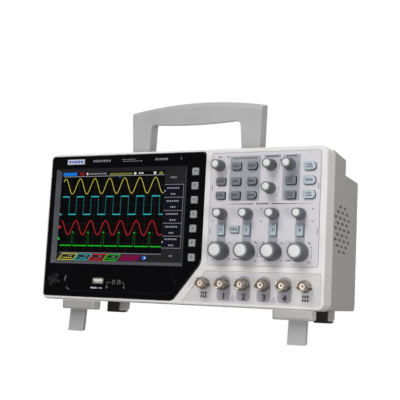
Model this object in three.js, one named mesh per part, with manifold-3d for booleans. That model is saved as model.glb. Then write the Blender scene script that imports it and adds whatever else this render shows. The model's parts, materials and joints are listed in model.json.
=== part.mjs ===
// A four-channel bench oscilloscope, leaning back on its two flip-out legs with its handle up.
// Millimetres, +Z up, standing on z = 0, with the origin under the middle of its bounding box.
// The pieces are drawn in the body's own frame: X to the right, Y back from the front face, and
// Z up from the underside. The body group then leans back until the legs and heels touch the floor.

import * as THREE from "three";
import { mergeVertices } from "three/addons/utils/BufferGeometryUtils.js";
import Module from "manifold-3d";

const wasm = await Module();
wasm.setup();

// ---------------------------------------------------------------- driving dimensions

const GAP = 0.3; // between pieces that touch
const SLIDE = 0.4; // around a piece that moves in a hole

const BEZEL = { half: 159, bottom: 0.5, top: 157.7, depth: 21.4, corner: 7, edge: 3, wall: 2.6 };
const CASE = { half: 157.5, front: BEZEL.depth + GAP, back: 110, bottom: 1.5, wall: 2.6, corner: 5 };
CASE.top = 156.8;
CASE.stepAt = 63.4; // the top drops here, to make room for the folded grip
CASE.stepTop = 154.4;
CASE.deckFront = 138.7;
CASE.deckBack = 137.8;
CASE.underBack = 2.9;
const BULGE = { half: 146, back: 122, bottom: 3.2, top: 128, slope: 7 };

const SCREEN = { left: -156.5, right: 30.5, bottom: 4, top: 155.1, corner: 3, thick: 3.3, proud: 0.3 };
SCREEN.cut = { x: 0, z: 43.1 }; // the slanted lower right corner runs from here down and left
const WINDOW = { left: -145.1, right: 6.8, bottom: 42.3, top: 137.8, slope: 3.6 };
const POCKET = { left: -120, right: -7.7, z: 20.3, radius: 10.4, deep: 1 };
const LCD = { left: -149.4, right: 10.4, bottom: 38, top: 143, back: 12.5, lip: 0.9 };

const OVERLAY = { left: 37, right: 151.5, bottom: 41, top: 153, corner: 3, proud: 0.1, thick: 0.8 };
const SOCKET_FIELD = { top: 35.2, bottom: 3.2, right: 155.6, left: 10.5, slant: 25.1, deep: 1.2 };
const FRONT_WALL = { screen: 5.8, controls: 4 }; // y of the inside of the front wall

const COLUMNS = [51.3, 78.5, 105.8, 133.1]; // the four channels' controls
const KNOB_SMALL = { tip: 4.7, base: 5.9, long: 15, shaft: 3 };
const KNOB_LARGE = { tip: 7.6, base: 9.7, long: 16, shaft: 3 };
const SHAFT_BACK = 5.6;
const BUTTON = { flange: 1.1, flangeThick: 1 };

const BNC = { first: 34.8, pitch: 21.08, count: 6, z: 22.7, tip: 12, bore: 4.4, barrel: 5.2 };
BNC.collar = 5.9;
BNC.thread = 5.3;
BNC.insulator = { radius: 2.3, front: -8.7, back: -5.6 };
BNC.back = 8;

const HANDLE = { pivot: [42.5, 147.5], lean: 3.6, thick: 16, edge: 1.6 };
HANDLE.rise = 0.28; // slope of the grip's top and underside, upwards to the back
HANDLE.outer = [74.8, 77]; // half width at the pivot and at the top corner
HANDLE.inner = [55, 52.3];
HANDLE.corner = 62.4; // heights above the pivot, in the middle of the thickness
HANDLE.crown = 69;
HANDLE.under = 47.8;
HANDLE.belly = 45.9;
HANDLE.pin = 3.5;
HANDLE.pinEnd = 78.8;
const CHANNEL = { inner: 52.8, outer: 76.6, front: 33.4, floor: CASE.deckFront };

const FRONT_FOOT = { inner: 101.8, outer: 142.1, front: 15.4, back: 31.3, bottom: -9, stop: 22.2 };
const LEG = { inner: 116.5, outer: 135.2, pivot: [25.6, -4.4], thick: 5.2, lean: 5.1, pin: 1.6 };
LEG.tip = [20.5, -32.6]; // the front corner of its end
const REAR_FOOT = { inner: 118.1, outer: 133.1, front: 95, back: 122, bottom: -8 };
const RUBBER = { wrap: 3, heel: 112, back: 119, bottom: -10.9 };

// The floor runs from the front corner of the legs' ends to the heels of the rubber feet.
const SLOPE = (RUBBER.bottom - LEG.tip[1]) / (RUBBER.heel - LEG.tip[0]);
const LEAN = Math.atan(SLOPE);

const COLOURS = {
  bezel: 0xe6e5e4,
  casing: 0xb4b3ae,
  black: 0x0c0c10,
  overlay: 0xc9c5cc,
  knob: 0x55585c,
  menu: 0x868e94,
  blue: 0xb4c9d3,
  soft: 0xabaeb0,
  plastic: 0xc2c3c4,
  rubber: 0x1a1815,
  nickel: 0xb0a89a,
  glass: 0x10141a,
  board: 0x1d5a36,
  metal: 0x9a9c9e,
};

// ---------------------------------------------------------------- shapes and solids

// A closed geometry as a solid that can be joined and cut.
function solid(geometry) {
  const bare = geometry.index ? geometry.toNonIndexed() : geometry;
  bare.deleteAttribute("normal");
  bare.deleteAttribute("uv");
  const merged = mergeVertices(bare, 1e-4);
  const triVerts = new Uint32Array(merged.index.array);
  const vertProperties = merged.attributes.position.array;
  return new wasm.Manifold(new wasm.Mesh({ numProp: 3, vertProperties, triVerts }));
}

// A solid as a geometry again.
function geometryOf(made) {
  const { vertProperties, triVerts } = made.getMesh();
  const geometry = new THREE.BufferGeometry();
  geometry.setAttribute("position", new THREE.BufferAttribute(vertProperties, 3));
  geometry.setIndex(new THREE.BufferAttribute(triVerts, 1));
  return geometry;
}

function join(first, ...rest) {
  return rest.reduce((made, next) => made.add(next), first);
}

function cut(first, ...rest) {
  return rest.reduce((made, next) => made.subtract(next), first);
}

function block([x0, x1], [y0, y1], [z0, z1]) {
  const geometry = new THREE.BoxGeometry(x1 - x0, y1 - y0, z1 - z0);
  return solid(geometry.translate((x0 + x1) / 2, (y0 + y1) / 2, (z0 + z1) / 2));
}

// A shape drawn in X and Z, from y = front to y = back. Its edges are rounded inwards by edge in a
// few steps, or its middle is flared outwards by flare in one slope.
function plate(shape, front, back, { edge = 0, steps = 2, flare = 0, curves = 1 } = {}) {
  const size = edge + flare;
  const geometry = new THREE.ExtrudeGeometry(shape, {
    depth: back - front - 2 * size,
    curveSegments: curves,
    bevelEnabled: size > 0,
    bevelThickness: size,
    bevelSize: size,
    bevelOffset: -edge,
    bevelSegments: flare ? 1 : steps,
  });
  return solid(geometry.rotateX(Math.PI / 2).translate(0, back - size, 0));
}

// A profile drawn in Y and Z, from x = left to x = right.
function bar(profile, left, right) {
  const depth = right - left;
  const options = { depth, curveSegments: 2, bevelEnabled: false };
  const geometry = new THREE.ExtrudeGeometry(profile, options);
  const turn = new THREE.Matrix4().makeBasis(
    new THREE.Vector3(0, 1, 0),
    new THREE.Vector3(0, 0, 1),
    new THREE.Vector3(1, 0, 0),
  );
  return solid(geometry.applyMatrix4(turn).translate(left, 0, 0));
}

// A round piece about the Y axis: [radius, y] points, from the front of the axis to its back.
function turned(profile, sides) {
  const points = profile.map(([radius, y]) => new THREE.Vector2(radius, y));
  return solid(new THREE.LatheGeometry(points, sides));
}

// A round pin along X.
function pin(radius, left, right, y, z, sides = 12) {
  const geometry = new THREE.CylinderGeometry(radius, radius, right - left, sides);
  return solid(geometry.rotateZ(Math.PI / 2).translate((left + right) / 2, y, z));
}

// A rectangle with a radius of its own at each corner: lower left, lower right, upper right, upper left.
function rounded(left, right, bottom, top, radii) {
  const [a, b, c, d] = Array.isArray(radii) ? radii : [radii, radii, radii, radii];
  const quarter = Math.PI / 2;
  const shape = new THREE.Shape();
  shape.moveTo(left + a, bottom);
  shape.lineTo(right - b, bottom);
  shape.absarc(right - b, bottom + b, b, -quarter, 0);
  shape.lineTo(right, top - c);
  shape.absarc(right - c, top - c, c, 0, quarter);
  shape.lineTo(left + d, top);
  shape.absarc(left + d, top - d, d, quarter, 2 * quarter);
  shape.lineTo(left, bottom + a);
  shape.absarc(left + a, bottom + a, a, 2 * quarter, 3 * quarter);
  return shape;
}

function centred(x, z, width, height, radii) {
  return rounded(x - width / 2, x + width / 2, z - height / 2, z + height / 2, radii);
}

function circle(x, z, radius, sides = 10) {
  const turn = (i) => (2 * Math.PI * i) / sides;
  const corner = (_, i) => [x + radius * Math.cos(turn(i)), z + radius * Math.sin(turn(i))];
  return polygon(Array.from({ length: sides }, corner));
}

function polygon(points) {
  return new THREE.Shape(points.map(([x, y]) => new THREE.Vector2(x, y)));
}

// Two coordinates in rising order, for a span that is mirrored to the other side.
function between(a, b) {
  return [Math.min(a, b), Math.max(a, b)];
}

const degrees = THREE.MathUtils.degToRad;

// ---------------------------------------------------------------- controls

// Each button: its name, centre, size, corner radii, how far it stands out, and colour.
const D_SHAPE = [1, 3.4, 3.4, 1];
const buttons = [];

function addButton(name, x, z, width, height, radii, proud, colour) {
  buttons.push({ name, x, z, width, height, radii, proud, colour });
}

for (let i = 0; i < 7; i++) {
  addButton(`button_soft_${i + 1}`, 20.2, 135 - 14.53 * i, 7.4, 7.6, 1, 2.2, "soft");
}
const MENU_ROWS = [139.2, 124, 110.1];
const MENU_COLUMNS = [49, 65.2, 82.3];
let menuCount = 0;
MENU_ROWS.forEach((z, row) =>
  MENU_COLUMNS.forEach((x, column) => {
    if (row === 0 && column === 0) return; // the multipurpose knob sits here
    menuCount += 1;
    const radii = column === 2 ? D_SHAPE : 1.4;
    addButton(`button_menu_${menuCount}`, x, z, 10, 7.7, radii, 2.8, "menu");
  }),
);
addButton("button_trigger_menu", 122.3, MENU_ROWS[1], 10.8, 8, 1.4, 2.8, "menu");
addButton("button_trigger_force", 122.3, MENU_ROWS[2], 10.8, 8, 1.4, 2.8, "menu");
["run", "single", "auto"].forEach((what, row) =>
  addButton(`button_${what}`, 141.4, MENU_ROWS[row] - (row ? 0 : 1.5), 11.6, 8, D_SHAPE, 2.8, "blue"),
);
COLUMNS.forEach((x, i) =>
  addButton(`button_channel_${i + 1}`, x, 76, 7.4, 11.4, 0.9, 2.5, "blue"),
);
addButton("button_math", 65.6, 76.3, 9.4, 6.8, 0.9, 2.5, "blue");
addButton("button_power", -143.9, 20.9, 10.4, 10.4, 5.2, 1.6, "black");

const knobs = [
  { name: "knob_multipurpose", x: 47.2, z: 140, size: KNOB_SMALL },
  { name: "knob_time_position", x: 101.5, z: 139.5, size: KNOB_SMALL },
  { name: "knob_time_scale", x: 101.4, z: 116.7, size: KNOB_SMALL },
  { name: "knob_trigger_level", x: 121, z: 139.5, size: KNOB_SMALL },
];
COLUMNS.forEach((x, i) => {
  knobs.push({ name: `knob_position_${i + 1}`, x, z: 91.4, size: KNOB_SMALL });
  knobs.push({ name: `knob_scale_${i + 1}`, x, z: 55.1, size: KNOB_LARGE });
});

const onScreen = ({ x }) => x < SCREEN.right;
const onOverlay = ({ x }) => x > OVERLAY.left;
const bncX = (i) => BNC.first + BNC.pitch * i;

// The holes that the controls need, cut from y = front to y = back. The hidden wall behind the
// overlay has plain square ones.
function buttonHoles(list, front, back) {
  return list.map(({ x, z, width, height, radii }) =>
    plate(centred(x, z, width + 2 * SLIDE, height + 2 * SLIDE, radii), front, back),
  );
}

function squareHoles(list, front, back) {
  return list.map(({ x, z, width, height }) => {
    const wide = width / 2 + SLIDE;
    const high = height / 2 + SLIDE;
    return block([x - wide, x + wide], [front, back], [z - high, z + high]);
  });
}

function knobHoles(front, back) {
  return knobs.map(({ x, z, size }) => plate(circle(x, z, size.shaft + SLIDE), front, back));
}

// A button's cap and stem, with the flange behind the wall that keeps it in.
function buttonSolid({ x, z, width, height, radii, proud }) {
  const wall = x < SCREEN.right ? FRONT_WALL.screen : FRONT_WALL.controls;
  const back = wall + GAP + BUTTON.flangeThick;
  const wide = width + 2 * BUTTON.flange;
  const high = height + 2 * BUTTON.flange;
  return join(
    plate(centred(x, z, width, height, radii), -proud, back),
    plate(centred(x, z, wide, high, 1), wall + GAP, back),
  );
}

function knobSolid({ tip, base, long, shaft }) {
  const lift = OVERLAY.proud + SLIDE;
  const profile = [
    [0, -long],
    [tip - 0.5, -long],
    [tip, 0.5 - long],
    [base, -lift - 2],
    [base, -lift],
    [shaft, -lift],
    [shaft, SHAFT_BACK],
    [0, SHAFT_BACK],
  ];
  return turned(profile, 14);
}

function bncSolid() {
  const face = SOCKET_FIELD.deep - GAP;
  const profile = [
    [0, BNC.insulator.front],
    [BNC.insulator.radius, BNC.insulator.front],
    [BNC.insulator.radius, BNC.insulator.back],
    [BNC.bore, BNC.insulator.back],
    [BNC.bore, -BNC.tip],
    [BNC.barrel, -BNC.tip],
    [BNC.barrel, -4.5],
    [BNC.collar, -3.9],
    [BNC.collar, face],
    [BNC.thread, face],
    [BNC.thread, BNC.back],
    [0, BNC.back],
  ];
  return turned(profile, 12);
}

// ---------------------------------------------------------------- front

// The outline of the black screen panel, grown by a margin.
function screenOutline(margin) {
  const left = SCREEN.left - margin;
  const right = SCREEN.right + margin;
  const bottom = SCREEN.bottom - margin;
  const top = SCREEN.top + margin;
  const r = SCREEN.corner;
  const quarter = Math.PI / 2;
  const shape = new THREE.Shape();
  shape.moveTo(left + r, bottom);
  shape.lineTo(SCREEN.cut.x - 4, bottom);
  shape.quadraticCurveTo(SCREEN.cut.x + 0.8, bottom, SCREEN.cut.x + 3.8 + margin, bottom + 4);
  shape.lineTo(right - 3.2, SCREEN.cut.z - 5);
  shape.quadraticCurveTo(right, SCREEN.cut.z - 1, right, SCREEN.cut.z + 4);
  shape.lineTo(right, top - r);
  shape.absarc(right - r, top - r, r, 0, quarter);
  shape.lineTo(left + r, top);
  shape.absarc(left + r, top - r, r, quarter, 2 * quarter);
  shape.lineTo(left, bottom + r);
  shape.absarc(left + r, bottom + r, r, 2 * quarter, 3 * quarter);
  return shape;
}

// The sloping recess that holds the row of sockets.
function socketField() {
  const { left, slant, right, bottom, top } = SOCKET_FIELD;
  return polygon([
    [left, bottom],
    [right - 4, bottom],
    [right, bottom + 4],
    [right, top - 3],
    [right - 3, top],
    [left + slant, top],
  ]);
}

function frontBezel() {
  const { half, bottom, top, depth, corner, edge, wall } = BEZEL;
  const outline = rounded(-half, half, bottom, top, corner);
  const hollow = rounded(-half + wall, half - wall, bottom + wall, top - wall, corner - wall);
  const middle = SCREEN.right + 3;
  const shell = cut(
    plate(outline, 0, depth + 2 * edge, { edge, steps: 3, curves: 3 }),
    block([-half, half], [depth, depth + 3 * edge], [bottom - 1, top + 1]),
    plate(hollow, FRONT_WALL.screen, depth + 1),
  );
  const thinWall = block([middle, half - wall], [FRONT_WALL.controls, depth], [bottom + 4, top - 4]);
  const recess = plate(screenOutline(GAP), -1, SCREEN.thick, { curves: 3 });
  const film = rounded(
    OVERLAY.left - GAP,
    OVERLAY.right + GAP,
    OVERLAY.bottom - GAP,
    OVERLAY.top + GAP,
    OVERLAY.corner,
  );
  const lcdHole = block(
    [LCD.left - GAP, LCD.right + GAP],
    [0, FRONT_WALL.screen + 1],
    [LCD.bottom - GAP, LCD.top + GAP],
  );
  const sockets = Array.from({ length: BNC.count }, (_, i) =>
    plate(circle(bncX(i), BNC.z, BNC.thread + GAP), 0, depth),
  );
  return cut(
    shell,
    thinWall,
    recess,
    lcdHole,
    plate(film, -1, OVERLAY.thick + GAP),
    plate(socketField(), -1, SOCKET_FIELD.deep),
    ...sockets,
    ...knobHoles(0, depth),
    ...squareHoles(buttons, 0, depth),
  );
}

function screenPanel() {
  const front = -SCREEN.proud;
  const back = SCREEN.thick - GAP;
  const { left, right, bottom, top, slope } = WINDOW;
  const throat = rounded(left, right, bottom, top, 0.4);
  const stadium = new THREE.Shape();
  stadium.absarc(POCKET.right, POCKET.z, POCKET.radius, -Math.PI / 2, Math.PI / 2);
  stadium.absarc(POCKET.left, POCKET.z, POCKET.radius, Math.PI / 2, (3 * Math.PI) / 2);
  return cut(
    plate(screenOutline(0), front, back, { curves: 3 }),
    plate(throat, back - 4 * slope, back, { flare: slope }),
    plate(throat, front - 1, back + 1),
    plate(stadium, front - 1, front + POCKET.deep, { curves: 4 }),
    ...buttonHoles(buttons.filter(onScreen), front - 1, back + 1),
  );
}

function lcdModule() {
  const { left, right, bottom, top, back, lip } = LCD;
  const front = SCREEN.thick;
  const glass = block([left, right], [front, back], [bottom, top]);
  const frame = block(
    [left - lip - 1, right + lip],
    [FRONT_WALL.screen + GAP, back],
    [bottom - lip - 1, top + lip + 1],
  );
  return join(glass, frame);
}

function controlOverlay() {
  const { left, right, bottom, top, corner, proud, thick } = OVERLAY;
  return cut(
    plate(rounded(left, right, bottom, top, corner), -proud, thick),
    ...knobHoles(-1, 2),
    ...buttonHoles(buttons.filter(onOverlay), -1, 2),
  );
}

// ---------------------------------------------------------------- casing

// The casing's side view, moved in by a wall, open or closed at the front.
function caseProfile(inset, front) {
  const back = CASE.back - inset;
  const round = CASE.corner;
  const shape = new THREE.Shape();
  shape.moveTo(front, CASE.bottom + inset);
  shape.lineTo(back - round, CASE.underBack + inset);
  shape.absarc(back - round, CASE.underBack + inset + round, round, -Math.PI / 2, 0);
  shape.lineTo(back, CASE.deckBack - inset);
  shape.lineTo(CASE.stepAt - inset, CASE.deckFront - inset);
  shape.lineTo(CASE.stepAt - inset, CASE.stepTop - inset);
  shape.lineTo(front, CASE.top - inset);
  return shape;
}

// The raised middle of the back, with sloping sides.
function bulge(inset, from) {
  const { half, back, bottom, top, slope } = BULGE;
  const side = half - inset - slope;
  const outline = rounded(-side, side, bottom + inset + slope, top - inset - slope, 4);
  const raised = plate(outline, CASE.back - 4 * slope, back - inset, { flare: slope });
  return cut(raised, block([-half, half], [0, from], [-1, CASE.top]));
}

// Staggered rows of slots through a side wall.
function sideVents(side) {
  const rows = [2, 3, 4, 3, 4, 3, 4, 3, 2];
  const pitch = { y: 15, z: 5.56 };
  const middle = { y: 56, z: 82.2 };
  const slot = { long: 8.4, high: 2.6 };
  const x = side * CASE.half;
  const vents = [];
  rows.forEach((count, row) => {
    const z = middle.z + pitch.z * ((rows.length - 1) / 2 - row);
    for (let i = 0; i < count; i++) {
      const y = middle.y + pitch.y * (i - (count - 1) / 2);
      const along = [y - slot.long / 2, y + slot.long / 2];
      vents.push(block([x - 5, x + 5], along, [z - slot.high / 2, z + slot.high / 2]));
    }
  });
  return vents;
}

const INLET = { x: 92, z: 34, width: 27, height: 19.6, corner: 3, flange: [48, 24] };

// Long slots low and high on the back, which let the warm air out.
function rearVents() {
  const slots = [];
  for (let column = 0; column < 2; column++) {
    for (let row = 0; row < 8; row++) {
      const left = -112 + column * 54;
      const bottom = 46 + row * 8;
      slots.push(block([left, left + 46], [100, 130], [bottom, bottom + 3]));
    }
  }
  return slots;
}

function rearCase() {
  const { half, front, wall } = CASE;
  const inside = half - wall;
  const shell = join(
    bar(caseProfile(0, front), -half, half),
    bulge(0, CASE.back - 2),
    ...[-1, 1].map((side) => heelBoss(side)),
  );
  const walls = [-1, 1].map((side) => channel(side, wall));
  const room = cut(
    join(bar(caseProfile(wall, front - 1), -inside, inside), bulge(wall, CASE.back - 2 * wall)),
    ...walls,
  );
  const inletHole = centred(INLET.x, INLET.z, INLET.width + 1, INLET.height + 1, INLET.corner);
  const { pivot, pin: pinRadius } = HANDLE;
  return cut(
    shell,
    room,
    ...[-1, 1].map((side) => channel(side, 0)),
    ...[-1, 1].map((side) =>
      pin(pinRadius + GAP, ...between(side * 70, side * (CHANNEL.outer + 2 * wall)), ...pivot),
    ),
    ...sideVents(-1),
    ...sideVents(1),
    ...rearVents(),
    plate(inletHole, CASE.back, BULGE.back + 5),
  );
}

// The slot in the top that a leg of the handle folds into, grown by a wall.
function channel(side, grow) {
  const xs = between(side * (CHANNEL.inner - grow), side * (CHANNEL.outer + grow));
  const back = grow ? CASE.stepAt : CASE.back;
  return block(xs, [CHANNEL.front - grow, back], [CHANNEL.floor - grow, CASE.top + 5]);
}

// The moulded heel that carries a rubber foot.
function heelBoss(side) {
  const { inner, outer, front, back, bottom } = REAR_FOOT;
  const start = front + RUBBER.wrap + GAP;
  const shape = new THREE.Shape();
  shape.moveTo(start, bottom);
  shape.lineTo(back - 4, bottom);
  shape.absarc(back - 4, bottom + 4, 4, -Math.PI / 2, 0);
  shape.lineTo(back, BULGE.bottom + 4);
  shape.lineTo(start, BULGE.bottom + 1.5);
  return bar(shape, ...between(side * inner, side * outer));
}

// The L-shaped rubber foot, cut parallel to the floor behind its heel line.
function rubberFoot(side) {
  const { inner, outer, front, bottom } = REAR_FOOT;
  const { wrap, heel, back } = RUBBER;
  const top = CASE.underBack - 1;
  const sole = RUBBER.bottom;
  const profile = polygon([
    [front, sole + 1],
    [front + 1, sole],
    [heel, sole],
    [back, sole + (back - heel) * SLOPE],
    [back, bottom - GAP],
    [front + wrap, bottom - GAP],
    [front + wrap, top],
    [front, top],
  ]);
  return bar(profile, ...between(side * inner, side * outer));
}

// The front foot's housing, open behind and below for the leg.
function frontFoot(side) {
  const { inner, outer, front, back, bottom, stop } = FRONT_FOOT;
  const top = BEZEL.bottom - GAP;
  const slot = between(side * (LEG.inner - SLIDE), side * (LEG.outer + SLIDE));
  const profile = polygon([
    [front, bottom + 1.5],
    [front + 1.5, bottom],
    [back, bottom],
    [back, top],
    [front, top],
  ]);
  const [pinY, pinZ] = LEG.pivot;
  return cut(
    bar(profile, ...between(side * inner, side * outer)),
    block(slot, [stop, back + 1], [bottom - 1, -1.2]),
    pin(LEG.pin + GAP, slot[0] - 3, slot[1] + 3, pinY, pinZ),
  );
}

// ---------------------------------------------------------------- pieces that swing

// A flip-out leg about its own pin, pointing down, with its end cut parallel to the floor.
function leg() {
  const half = (LEG.outer - LEG.inner) / 2;
  const [tipY, tipZ] = [LEG.tip[0] - LEG.pivot[0], LEG.tip[1] - LEG.pivot[1]];
  const lean = degrees(LEG.lean);
  const long = -tipY * Math.sin(lean) - tipZ * Math.cos(lean);
  const r = LEG.thick / 2;
  const endRise = LEG.thick * Math.tan(LEAN + lean);
  const profile = new THREE.Shape();
  profile.moveTo(-r, -long);
  profile.lineTo(r, endRise - long);
  profile.lineTo(r, 0);
  profile.absarc(0, 0, r, 0, Math.PI);
  return join(bar(profile, -half, half), pin(LEG.pin, -half - 2.6, half + 2.6, 0, 0));
}

// The handle about its own pins: two legs and an arched grip, drawn standing straight up.
function handle() {
  const { thick, edge, outer, inner, corner, crown, under, belly, pin: pinRadius } = HANDLE;
  const r = thick / 2;
  const shape = new THREE.Shape();
  shape.moveTo(-outer[0], 0);
  shape.lineTo(-outer[1], corner - 1);
  shape.lineTo(-outer[1] + 1, corner);
  shape.quadraticCurveTo(0, 2 * crown - corner, outer[1] - 1, corner);
  shape.lineTo(outer[1], corner - 1);
  shape.lineTo(outer[0], 0);
  shape.lineTo(inner[0], 0);
  shape.lineTo(inner[1], under - 3.4);
  shape.quadraticCurveTo(inner[1] - 0.3, under, inner[1] - 3.6, under);
  shape.quadraticCurveTo(0, 2 * belly - under, 3.6 - inner[1], under);
  shape.quadraticCurveTo(0.3 - inner[1], under, -inner[1], under - 3.4);
  shape.lineTo(-inner[0], 0);
  const arch = plate(shape, -r, r, { edge, curves: 6 }).warp((point) => {
    if (point[2] > under / 2) point[2] += HANDLE.rise * point[1];
  });
  const low = edge + 0.4; // the rounded lower edge of the arch is cut off here
  const trimmed = cut(arch, block([-outer[1], outer[1]], [-r, r], [-1, low]));
  const ends = [-1, 1].map((side) => {
    const xs = between(side * (inner[0] + 0.1), side * (outer[0] - 0.1));
    const pinXs = between(side * (outer[0] - 3), side * HANDLE.pinEnd);
    return join(
      pin(r, ...xs, 0, 0, 20),
      block(xs, [-r, r], [0, low + 0.2]),
      pin(pinRadius, ...pinXs, 0, 0),
    );
  });
  return join(trimmed, ...ends);
}

// ---------------------------------------------------------------- inside

// The board behind the controls, with an encoder behind each knob.
function controlBoard() {
  const board = block([OVERLAY.left - 2, BEZEL.half - 7], [9.5, 11.1], [33, 150]);
  const encoders = knobs.map(({ x, z }) =>
    block([x - 5.8, x + 5.8], [SHAFT_BACK + GAP, 9.6], [z - 5.8, z + 5.8]),
  );
  return join(board, ...encoders);
}

// The acquisition board behind the sockets, with its screening cans and processor.
function mainBoard() {
  const board = block([-140, 150], [30, 31.6], [8, 126]);
  const cans = COLUMNS.map((x) => block([x - 9, x + 9], [24, 30.1], [12, 50]));
  const processor = block([-30, 0], [31.5, 34], [60, 90]);
  const heatSink = block([-34, 4], [33.9, 46], [56, 94]);
  return join(board, ...cans, processor, heatSink);
}

// The power supply's board and its metal box, low at the back.
function powerSupply() {
  const box = block([48, 144], [54, 98], [12, 62]);
  const bend = block([56, 72], [50, 54.1], [20, 40]);
  return join(box, bend);
}

// The mains inlet in the back wall: a flanged block with three pins in its socket.
function mainsInlet() {
  const { x, z, width, height, corner, flange } = INLET;
  const face = BULGE.back + GAP;
  const mouth = face + 1.8;
  const body = join(
    plate(centred(x, z, width, height, corner), 102, mouth),
    plate(centred(x, z, flange[0], flange[1], corner), face, mouth),
  );
  const socket = plate(centred(x, z, width - 4, height - 4, corner), 107, mouth + 1);
  const blades = [-7, 0, 7].map((offset, i) => {
    const lift = i === 1 ? 3 : -1;
    return block([x + offset - 1, x + offset + 1], [106.5, 117], [z + lift - 2, z + lift + 2]);
  });
  return join(cut(body, socket), ...blades);
}

// ---------------------------------------------------------------- assembly

const finishes = Object.fromEntries(
  Object.entries(COLOURS).map(([name, color]) => {
    const metalness = name === "nickel" || name === "metal" ? 0.9 : 0;
    const roughness = name === "rubber" ? 0.9 : name === "glass" ? 0.15 : 0.5;
    return [name, new THREE.MeshStandardMaterial({ color, roughness, metalness, flatShading: true })];
  }),
);

function piece(name, made, finish, parent, position = [0, 0, 0]) {
  const mesh = new THREE.Mesh(geometryOf(made), finishes[finish]);
  mesh.name = name;
  mesh.position.set(...position);
  parent.add(mesh);
}

const body = new THREE.Group();
body.rotation.x = -LEAN;

piece("front_bezel", frontBezel(), "bezel", body);
piece("screen_panel", screenPanel(), "black", body);
piece("lcd_module", lcdModule(), "glass", body);
piece("control_overlay", controlOverlay(), "overlay", body);
piece("rear_case", rearCase(), "casing", body);
piece("control_board", controlBoard(), "board", body);
piece("main_board", mainBoard(), "board", body);
piece("power_supply", powerSupply(), "metal", body);
piece("mains_inlet", mainsInlet(), "black", body);

for (const button of buttons) piece(button.name, buttonSolid(button), button.colour, body);
for (const { name, x, z, size } of knobs) piece(name, knobSolid(size), "knob", body, [x, 0, z]);

const BNC_NAMES = ["generator", "channel_1", "channel_2", "channel_3", "channel_4", "trigger"];
BNC_NAMES.forEach((name, i) => piece(`bnc_${name}`, bncSolid(), "nickel", body, [bncX(i), 0, BNC.z]));

for (const [name, side] of [["left", -1], ["right", 1]]) {
  piece(`front_foot_${name}`, frontFoot(side), "plastic", body);
  piece(`rubber_foot_${name}`, rubberFoot(side), "rubber", body);
  const hinge = new THREE.Group();
  hinge.position.set((side * (LEG.inner + LEG.outer)) / 2, ...LEG.pivot);
  hinge.rotation.x = -degrees(LEG.lean);
  piece(`leg_${name}`, leg(), "plastic", hinge);
  body.add(hinge);
}

const handleHinge = new THREE.Group();
handleHinge.position.set(0, ...HANDLE.pivot);
handleHinge.rotation.x = degrees(HANDLE.lean);
piece("handle", handle(), "plastic", handleHinge);
body.add(handleHinge);

const oscilloscope = new THREE.Group();
oscilloscope.add(body);
oscilloscope.updateMatrixWorld(true);
const box = new THREE.Box3().setFromObject(body, true);
body.position.y = -(box.min.y + box.max.y) / 2;
body.position.z = -box.min.z;

export default oscilloscope;
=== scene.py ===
"""The finished look of a four-channel bench oscilloscope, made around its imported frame.

Everything on the body is drawn in the body's own frame, in millimetres: X to the right, Y back from
the front face and Z up from the underside. The handle and legs are drawn about their own hinges.
"""

import json
import math

import bmesh
import bpy
from mathutils import Matrix, Vector


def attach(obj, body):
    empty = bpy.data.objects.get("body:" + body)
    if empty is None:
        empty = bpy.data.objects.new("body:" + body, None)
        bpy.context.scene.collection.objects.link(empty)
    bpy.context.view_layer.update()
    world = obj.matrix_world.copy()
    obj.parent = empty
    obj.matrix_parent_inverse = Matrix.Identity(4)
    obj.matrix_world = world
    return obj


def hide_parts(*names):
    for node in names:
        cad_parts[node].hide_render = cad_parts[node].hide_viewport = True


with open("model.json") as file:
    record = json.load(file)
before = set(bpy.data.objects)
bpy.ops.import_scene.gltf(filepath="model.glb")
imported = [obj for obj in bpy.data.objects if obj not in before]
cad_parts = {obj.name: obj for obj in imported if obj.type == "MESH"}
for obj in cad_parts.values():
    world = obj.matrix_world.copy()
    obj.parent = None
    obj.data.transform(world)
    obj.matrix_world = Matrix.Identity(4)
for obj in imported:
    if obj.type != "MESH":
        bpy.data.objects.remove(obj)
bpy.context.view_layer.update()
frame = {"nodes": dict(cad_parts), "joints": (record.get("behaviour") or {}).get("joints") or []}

MM = 0.001

# ---------------------------------------------------------------- camera

CAMERA_PLACE = (0.4005, -0.8242, 0.2114)
CAMERA_TURN = (85.2436, 2.8435, 25.4369)
CAMERA_LENS = 77.571


def add_camera():
    data = bpy.data.cameras.new("camera")
    data.lens = CAMERA_LENS
    data.sensor_width = 36
    camera = bpy.data.objects.new("camera", data)
    camera.location = CAMERA_PLACE
    camera.rotation_euler = [math.radians(angle) for angle in CAMERA_TURN]
    bpy.context.scene.collection.objects.link(camera)
    bpy.context.scene.camera = camera


add_camera()

# ---------------------------------------------------------------- the body's own frame

JOINTS = {joint["name"]: joint for joint in frame["joints"]}
INWARD = Vector(JOINTS["power_press"]["axis"]).normalized()
LEAN = math.atan2(-INWARD.z, INWARD.y)
BODY_TURN = Matrix.Rotation(-LEAN, 4, "X")
BEZEL_LOW = Vector((-159, 0, 0.5)) * MM  # the front bezel's lowest corner in the body's frame


def body_matrix():
    """The matrix from the body's frame to the world, found from where the bezel's corner is."""
    back = BODY_TURN.inverted()
    points = [back @ vertex.co for vertex in frame["nodes"]["front_bezel"].data.vertices]
    low = Vector([min(point[i] for point in points) for i in range(3)])
    return BODY_TURN @ Matrix.Translation(low - BEZEL_LOW)


BODY = body_matrix()


class Box:
    """A node's box in the body's frame, in millimetres."""

    def __init__(self, node):
        back = BODY.inverted()
        points = [back @ vertex.co / MM for vertex in frame["nodes"][node].data.vertices]
        self.x0, self.y0, self.z0 = [min(point[i] for point in points) for i in range(3)]
        self.x1, self.y1, self.z1 = [max(point[i] for point in points) for i in range(3)]
        self.x = (self.x0 + self.x1) / 2
        self.z = (self.z0 + self.z1) / 2


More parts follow.
